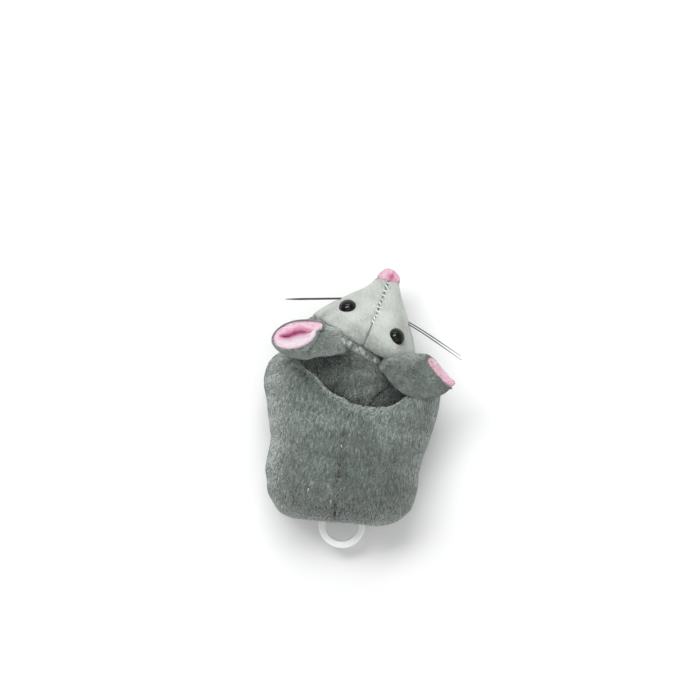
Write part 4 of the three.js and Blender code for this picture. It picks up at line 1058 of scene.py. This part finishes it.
# Ears
# Horns of folded grey plush, sewn on at the crease, with a pink plush lining that is pinched
# into two lobes with a deep slit between them. The right ear's lip leans out over its lining.
ear_half_long = 9.1
ear_half_short = 5.5
ear_wall = 0.9
slit_wave = 0.7
ear_sides = 72
ear_angles = 2 * np.pi * np.arange(ear_sides) / ear_sides
ears = {
    "left": {
        "base": (-0.36, -0.03, 0.95), "bend": (-1.0, -0.36, 0.76), "mouth": (-1.136, -0.3, 0.99),
        "long": (0.8, 0.6, 0), "size": (1, 1.05), "overhang": 0, "tail": 3.2, "tongue": 0, "lift": 2.2,
        "shade": 0.56, "painted edge light": 0.34, "pink": 0.79, "upper lobe": 0.08,
        "horn": [(0, 0.36, 0.56), (0.05, 0.42, 0.72), (0.14, 0.48, 0.88), (0.3, 0.54, 1.04), (0.5, 0.74, 1.1),
                 (0.7, 0.9, 1.08), (0.88, 1, 1.04), (1, 1, 1)]},
    "right": {
        "base": (0.449, -0.079, 0.9), "bend": (1.18, -0.13, 0.76), "mouth": (1.365, 0.12, 0.84),
        "long": (-0.82, 0.575, 0.3), "size": (0.86, 0.9), "overhang": 1.8, "tail": 0, "tongue": 2.6,
        "lift": 0, "shade": 0.42, "painted edge light": 0.12, "pink": 0.66, "upper lobe": 0.04,
        "horn": [(0, 0.26, 0.6), (0.08, 0.44, 0.82), (0.2, 0.7, 1.0), (0.38, 0.95, 1.08), (0.55, 1.04, 1.1),
                 (0.75, 1.04, 1.08), (0.9, 1.0, 1.04), (1, 0.93, 1)]},
}
lobe_shares = [(1.0, 0.0, 1.0), (0.98, 0.5, 0.985), (0.92, 0.95, 0.95), (0.8, 1.2, 0.9), (0.64, 1.1, 0.84),
               (0.46, 0.6, 0.77), (0.3, -0.2, 0.7), (0.17, -1.1, 0.65), (0.08, -2.0, 0.6), (0.03, -2.8, 0.56)]


def ear_ring(ear, place, long_share, short_share, inset=0.0, ahead=0.0, lip=1.0):
    """A ring across the ear's bent spine, at a share of its length. The overhang slants the lip."""
    base, bend, mouth = [head_place(*ear[key]) for key in ("base", "bend", "mouth")]
    middle = (1 - place) ** 2 * base + 2 * place * (1 - place) * bend + place**2 * mouth
    forward = 2 * (1 - place) * (bend - base) + 2 * place * (mouth - bend)
    forward /= np.linalg.norm(forward)
    long_x, long_y = from_head(ear["long"][0], ear["long"][1]) - head_at
    across = np.cross(forward, (long_x, long_y, ear["long"][2]))
    across /= np.linalg.norm(across)
    along = np.cross(across, forward)
    half_long = (ear_half_long * ear["size"][0] - inset) * long_share
    half_short = (ear_half_short * ear["size"][1] - inset) * short_share
    drawn = ear["tail"] * min(short_share, 1) * max(place * 2 - 1, 0) ** 2 * hump(ear_angles - 0.35, 0.45)
    wave = slit_wave * np.sin(3.2 * np.cos(ear_angles) + 0.6) + ear["lift"] * (1 - np.cos(ear_angles)) / 2
    wide = half_long * np.cos(ear_angles) + drawn
    deep = half_short * np.sin(ear_angles) + wave * (1 - min(short_share, 1))
    ring = np.outer(wide, along) + np.outer(deep, across)
    slant = np.clip(np.sin(ear_angles) * 0.9 - np.cos(ear_angles) * 0.5, 0, 1)
    reach = ear["overhang"] * lip * place**3 * slant
    return middle + ring + np.outer(reach + ahead, forward)


for number, (side, ear) in enumerate(ears.items()):
    horn = [ear_ring(ear, *shares) for shares in curve_through(ear["horn"], 7)]
    lip = [ear_ring(ear, 1, 1, 1, inset, ahead) for inset, ahead in
           ((0.05, 0.2), (0.2, 0.38), (0.45, 0.45), (0.7, 0.38), (0.85, 0.2))]
    dish = [ear_ring(ear, 1, long_share, short_share, ear_wall, ahead)
            for ahead, long_share, short_share in
            curve_through([(-0.4, 1, 1), (-2.5, 0.97, 0.93), (-5, 0.86, 0.7), (-6.6, 0.6, 0.4)], 4)]
    shell = made_piece(side + "_ear_plush", *loft(horn + lip + dish))
    x, y, z = points_of(shell)
    spine = np.array([ear_ring(ear, place, 0.001, 0.001, lip=0).mean(0) for place in np.linspace(0, 1, 40)])
    places = np.stack([x, y, z], 1)
    nearest = np.argmin(np.linalg.norm(places[:, None] - spine[None], axis=2), axis=1)
    lay = np.gradient(spine, axis=0)[nearest]
    lay /= np.linalg.norm(lay, axis=1)[:, None]
    order = np.arange(len(x))
    masks = order < (len(horn) + 2) * ear_sides
    tint = ear["shade"] + 0.1 * ripple(x, y, z, 7, 51) + 0.05 * ripple(x, y, z, 2.5, 52)
    # Painted light where the horn's wall turns away from the top.
    tint += ear["painted edge light"] * np.clip((0.8 - facing_up(shell)) / 0.5, 0, 1)
    long = np.interp(order / ear_sides, [len(horn) - 14, len(horn) - 1], [1, 0.4])
    give_pile(shell, plush_grey, masks, lay, tint, long, density=10.0, length=1.7, mess=0.4, spread=0.05,
              streak=0.8, brightest=0.88, seed=51 + number)
    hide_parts(side + "_ear")
    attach(shell, "root")

    inset = ear_wall + 0.15
    back = [ear_ring(ear, 1, long_share, short_share, inset, ahead, 0.6)
            for ahead, long_share, short_share in
            curve_through([(-5.9, 0.3, 0.12), (-5.2, 0.7, 0.5), (-2.6, 0.94, 0.88), (-0.2, 1, 1)], 4)]
    tongue = ear["tongue"] * (hump(ear_angles - np.pi, 1) - 0.1)
    lobes = [ear_ring(ear, 1, long_share, short_share, inset, ahead + tongue * short_share, 0.6)
             for short_share, ahead, long_share in curve_through(lobe_shares, 4)]
    lining = made_piece(side + "_ear_pad", *loft(back + lobes))
    x, y, z = points_of(lining)
    places = np.stack([x, y, z], 1)
    rim = ear_ring(ear, 1, 1, 1, lip=0)
    middle = rim.mean(0)
    upward = rim[ear_sides // 4] - middle
    forward = np.cross(rim[0] - middle, upward)
    forward /= np.linalg.norm(forward)
    upward /= np.linalg.norm(upward)
    depth = (places - middle) @ forward
    front = np.arange(len(x)) >= len(back) * ear_sides
    upper = np.clip((places - middle) @ upward / 1.2, -1, 1)
    tint = ear["pink"] - ear["upper lobe"] * upper
    # Painted shade: the pink deepens into the ear's hollow and slit.
    tint -= (0.44 + 0.2 * upper) * np.clip((0.8 - depth) / 2.2, 0, 1) ** 1.2 - 0.04 * ripple(x, y, z, 3, 53)
    give_pile(lining, plush_pink, front & (depth > -3.4), forward[None] + 0 * places, tint, density=16.0,
              length=0.7, width=0.3, lean=0.45, clump=0.9, mess=0.9, spread=0.04, streak=0.4,
              seed=61 + number)
    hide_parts(side + "_ear_lining")
    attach(lining, "root")

# Filling
# Loose polyester fibre, packed round the case in the body and filling the head.
fill_gap = 0.4
fill_pitch = 1.1
fibre = grained("stuffing", linear(243, 243, 240), 0.95, size=1500, amount=0.15, bump=0.5, vary=False)
case_points = np.vstack([points_of(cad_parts[name]).T for name in ("case_lower", "case_upper")])
hull_angles = np.linspace(0, 2 * np.pi, 48, endpoint=False)
hull_reach = np.max(case_points[:, :2] @ np.stack([np.cos(hull_angles), np.sin(hull_angles)]), axis=0)


def case_room(x, y, z):
    """Distance from the case, drawn round tightly, negative inside it."""
    flat = np.max([x * math.cos(a) + y * math.sin(a) - reach
                   for a, reach in zip(hull_angles, hull_reach)], axis=0)
    low, high = case_points[:, 2].min(), case_points[:, 2].max()
    return np.maximum(flat, np.maximum(low - z, z - high))


fills = {
    "body": ((-33, -30, 1), (36, 37, 38), lambda x, y, z: np.maximum.reduce([
        body_distance(x, y, z) + plush_wall, -case_room(x, y, z), -ring_slot(x, y, z)])),
    "head": ((-20, 20, 4), (26, 68, 42), lambda x, y, z: np.maximum.reduce([
        head_distance(x, y, z) + plush_wall, seam_gap + 0.8 - body_distance(x, y, z),
        past_nose_seam(*in_head(x, y)) + seam_gap, -0.5 * head_length - in_head(x, y)[1]])),
}
for name, (low, high, distance) in fills.items():
    fill_low, (gx, gy, gz) = grid_over(low, high, fill_pitch)
    tufts = 0.35 + 0.35 * ripple(gx, gy, gz, 5, 71) ** 2
    field = np.maximum(distance(gx, gy, gz) + fill_gap + tufts, 0.6 - gz)
    filling = made_piece(name + "_filling", *skin_mesh(field, fill_low, fill_pitch))
    filling.data.materials.append(fibre)
    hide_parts(name + "_stuffing")
    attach(filling, "root")

# Pull ring
# A moulded white ring with rounded edges and a hole through its rim for the cord.
ring_edge = 0.75
ring_width = 2.8
ring_low, ring_high = [np.array(corner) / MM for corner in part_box("pull_ring")]
ring_middle = (ring_low + ring_high) / 2
ring_outer = (ring_high[0] - ring_low[0]) / 2
ring_inner = ring_outer - ring_width
ring_half = (ring_high[2] - ring_low[2]) / 2
cord_hole = 0.62
profile = []
for corner_x, corner_z, start in ((ring_outer - ring_edge, ring_half - ring_edge, 0),
                                  (ring_inner + ring_edge, ring_half - ring_edge, 90),
                                  (ring_inner + ring_edge, ring_edge - ring_half, 180),
                                  (ring_outer - ring_edge, ring_edge - ring_half, 270)):
    for angle in np.radians(np.linspace(start, start + 90, 6)):
        profile.append((corner_x + ring_edge * math.cos(angle), corner_z + ring_edge * math.sin(angle)))
ring_steps = 96
points, faces = [], []
for step in range(ring_steps):
    angle = 2 * math.pi * step / ring_steps
    points += [(r * math.cos(angle), r * math.sin(angle), h) for r, h in profile]
    for k in range(len(profile)):
        a, b = step * len(profile), (step + 1) % ring_steps * len(profile)
        following = (k + 1) % len(profile)
        faces.append([a + k, b + k, b + following, a + following])
ring = made_piece("pull_ring_moulding", np.array(points) + ring_middle, faces)
drill_line = [(ring_middle[0], y, ring_middle[2]) for y in
              np.linspace(ring_middle[1] + ring_inner - 1, ring_high[1] + 1, 4)]
drill = made_piece("drill", *loft(tube_rings(drill_line, cord_hole, 20)))
cut = ring.modifiers.new("cord_hole", "BOOLEAN")
cut.operation, cut.solver, cut.object = "DIFFERENCE", "EXACT", drill
settle(ring)
bpy.data.objects.remove(drill)
ring.data.shade_smooth()
ring_white = grained("ring_white", linear(240, 242, 240), 0.22, size=700, amount=0.04, bump=0.03, vary=False,
                     coat_weight=0.4, coat_roughness=0.08)
ring.data.materials.clear()
ring.data.materials.append(ring_white)
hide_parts("pull_ring")
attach(ring, "ring")

# Cord winding
# Six turns of the cord in two layers on the drum's spool.
winding_low, winding_high = [np.array(corner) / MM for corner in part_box("cord_winding")]
winding_middle = (winding_low + winding_high) / 2
winding_radius = (winding_high[0] - winding_low[0]) / 2
wound_radius = 0.44
layer_turns = 3
wound = []
for layer in range(2):
    share = np.linspace(0, 1, 36 * layer_turns)
    climb = (share if layer else 1 - share) - 0.5
    angle = 2 * np.pi * layer_turns * share
    radius = winding_radius - wound_radius - (1 - layer) * 1.8 * wound_radius
    room = winding_high[2] - winding_low[2] - 2 * wound_radius
    wound.append(np.stack([radius * np.cos(angle), radius * np.sin(angle), climb * room], 1))
wound_line = np.vstack(wound) + winding_middle
winding = made_piece("cord_winding_turns", *loft(tube_rings(wound_line, wound_radius, 8)))
winding.data.materials.append(cord_white)
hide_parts("cord_winding")
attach(winding, "drum")

# Case, screws and pins
# Two moulded shells closed by four screws, with ground steel pins seated in both.

def paint(material, *names):
    """Gives this material to CAD forms that show as they are."""
    for name in names:
        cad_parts[name].material_slots[0].material = material


paint(grained("case_plastic", linear(217, 220, 218), 0.5, size=1800, amount=0.06, bump=0.15),
      "case_lower", "case_upper")
paint(grained("screw_steel", linear(186, 188, 192), 0.35, size=2500, amount=0.2, stretch=(1, 1, 6),
              metallic=1.0), *[f"case_screw_{number}" for number in range(1, 5)])
paint(grained("pin_steel", linear(198, 200, 203), 0.3, size=2500, amount=0.15, stretch=(1, 1, 10),
              metallic=1.0), "drum_arbor", "idler_pin", "weight_pin")
paint(grained("bush_brass", linear(203, 165, 84), 0.35, size=2200, amount=0.25, stretch=(1, 8, 1),
              metallic=1.0), "cord_bush")
paint(grained("washer_plastic", linear(224, 225, 222), 0.5, size=1500, amount=0.06, bump=0.1),
      "left_eye_washer", "right_eye_washer")

# Drum, gears, spring and weight
# Moulded drum and gears, a strip of spring steel in the barrel, and a cast half disc that shakes
# the toy as it spins.
paint(grained("drum_plastic", linear(238, 233, 216), 0.45, size=1600, amount=0.06, bump=0.1),
      "spring_drum", "drum_gear")
paint(grained("pinion_plastic", linear(232, 196, 78), 0.45, size=1600, amount=0.1, bump=0.1),
      "idler_gear", "weight_pinion")
paint(grained("spring_steel", linear(142, 147, 156), 0.3, size=2600, amount=0.3, stretch=(1, 1, 8),
              metallic=1.0), "mainspring")
paint(grained("weight_iron", linear(152, 155, 158), 0.5, size=1400, amount=0.35, bump=0.5,
              metallic=1.0), "eccentric_weight")

# Floor and light
# A plain pale floor in a bright room, a strip lamp high on the nose side, a wide fill from the
# rump side and a small low strip that shows as a glint in the eyes.
floor_half = 1500
floor = made_piece("floor", [(-floor_half, -floor_half, 0), (floor_half, -floor_half, 0),
                             (floor_half, floor_half, 0), (-floor_half, floor_half, 0)], [[0, 1, 2, 3]])
floor.data.materials.append(mottled("floor_paint", 0.9, 6, linear(232, 233, 233), linear(236, 236, 236)))

for name, place, size, power in (("key", (-230, 470, 900), (0.8, 0.34), 8.4),
                                 ("fill", (190, -330, 880), (1.2, 1.2), 3.4),
                                 ("glint", (-150, 900, 480), (0.8, 0.08), 2)):
    lamp_data = bpy.data.lights.new(name, "AREA")
    lamp_data.shape = "RECTANGLE"
    lamp_data.size, lamp_data.size_y = size
    lamp_data.energy = power
    lamp = bpy.data.objects.new(name, lamp_data)
    lamp.location = [c * MM for c in place]
    lamp.rotation_euler = (-Vector(place)).to_track_quat("-Z", "Y").to_euler()
    scene.collection.objects.link(lamp)
world = bpy.data.worlds.new("room")
world.use_nodes = True
sky = world.node_tree
direction = node(sky, "ShaderNodeTexCoord").outputs["Generated"]
upward = node(sky, "ShaderNodeSeparateXYZ", {0: direction}).outputs[2]
level = node(sky, "ShaderNodeMapRange", {"Value": upward, "From Max": 0.8, "To Min": 0.9, "To Max": 0.3})
sky.nodes["Background"].inputs["Color"].default_value = (1, 1, 1, 1)
sky.links.new(level.outputs[0], sky.nodes["Background"].inputs["Strength"])
scene.world = world
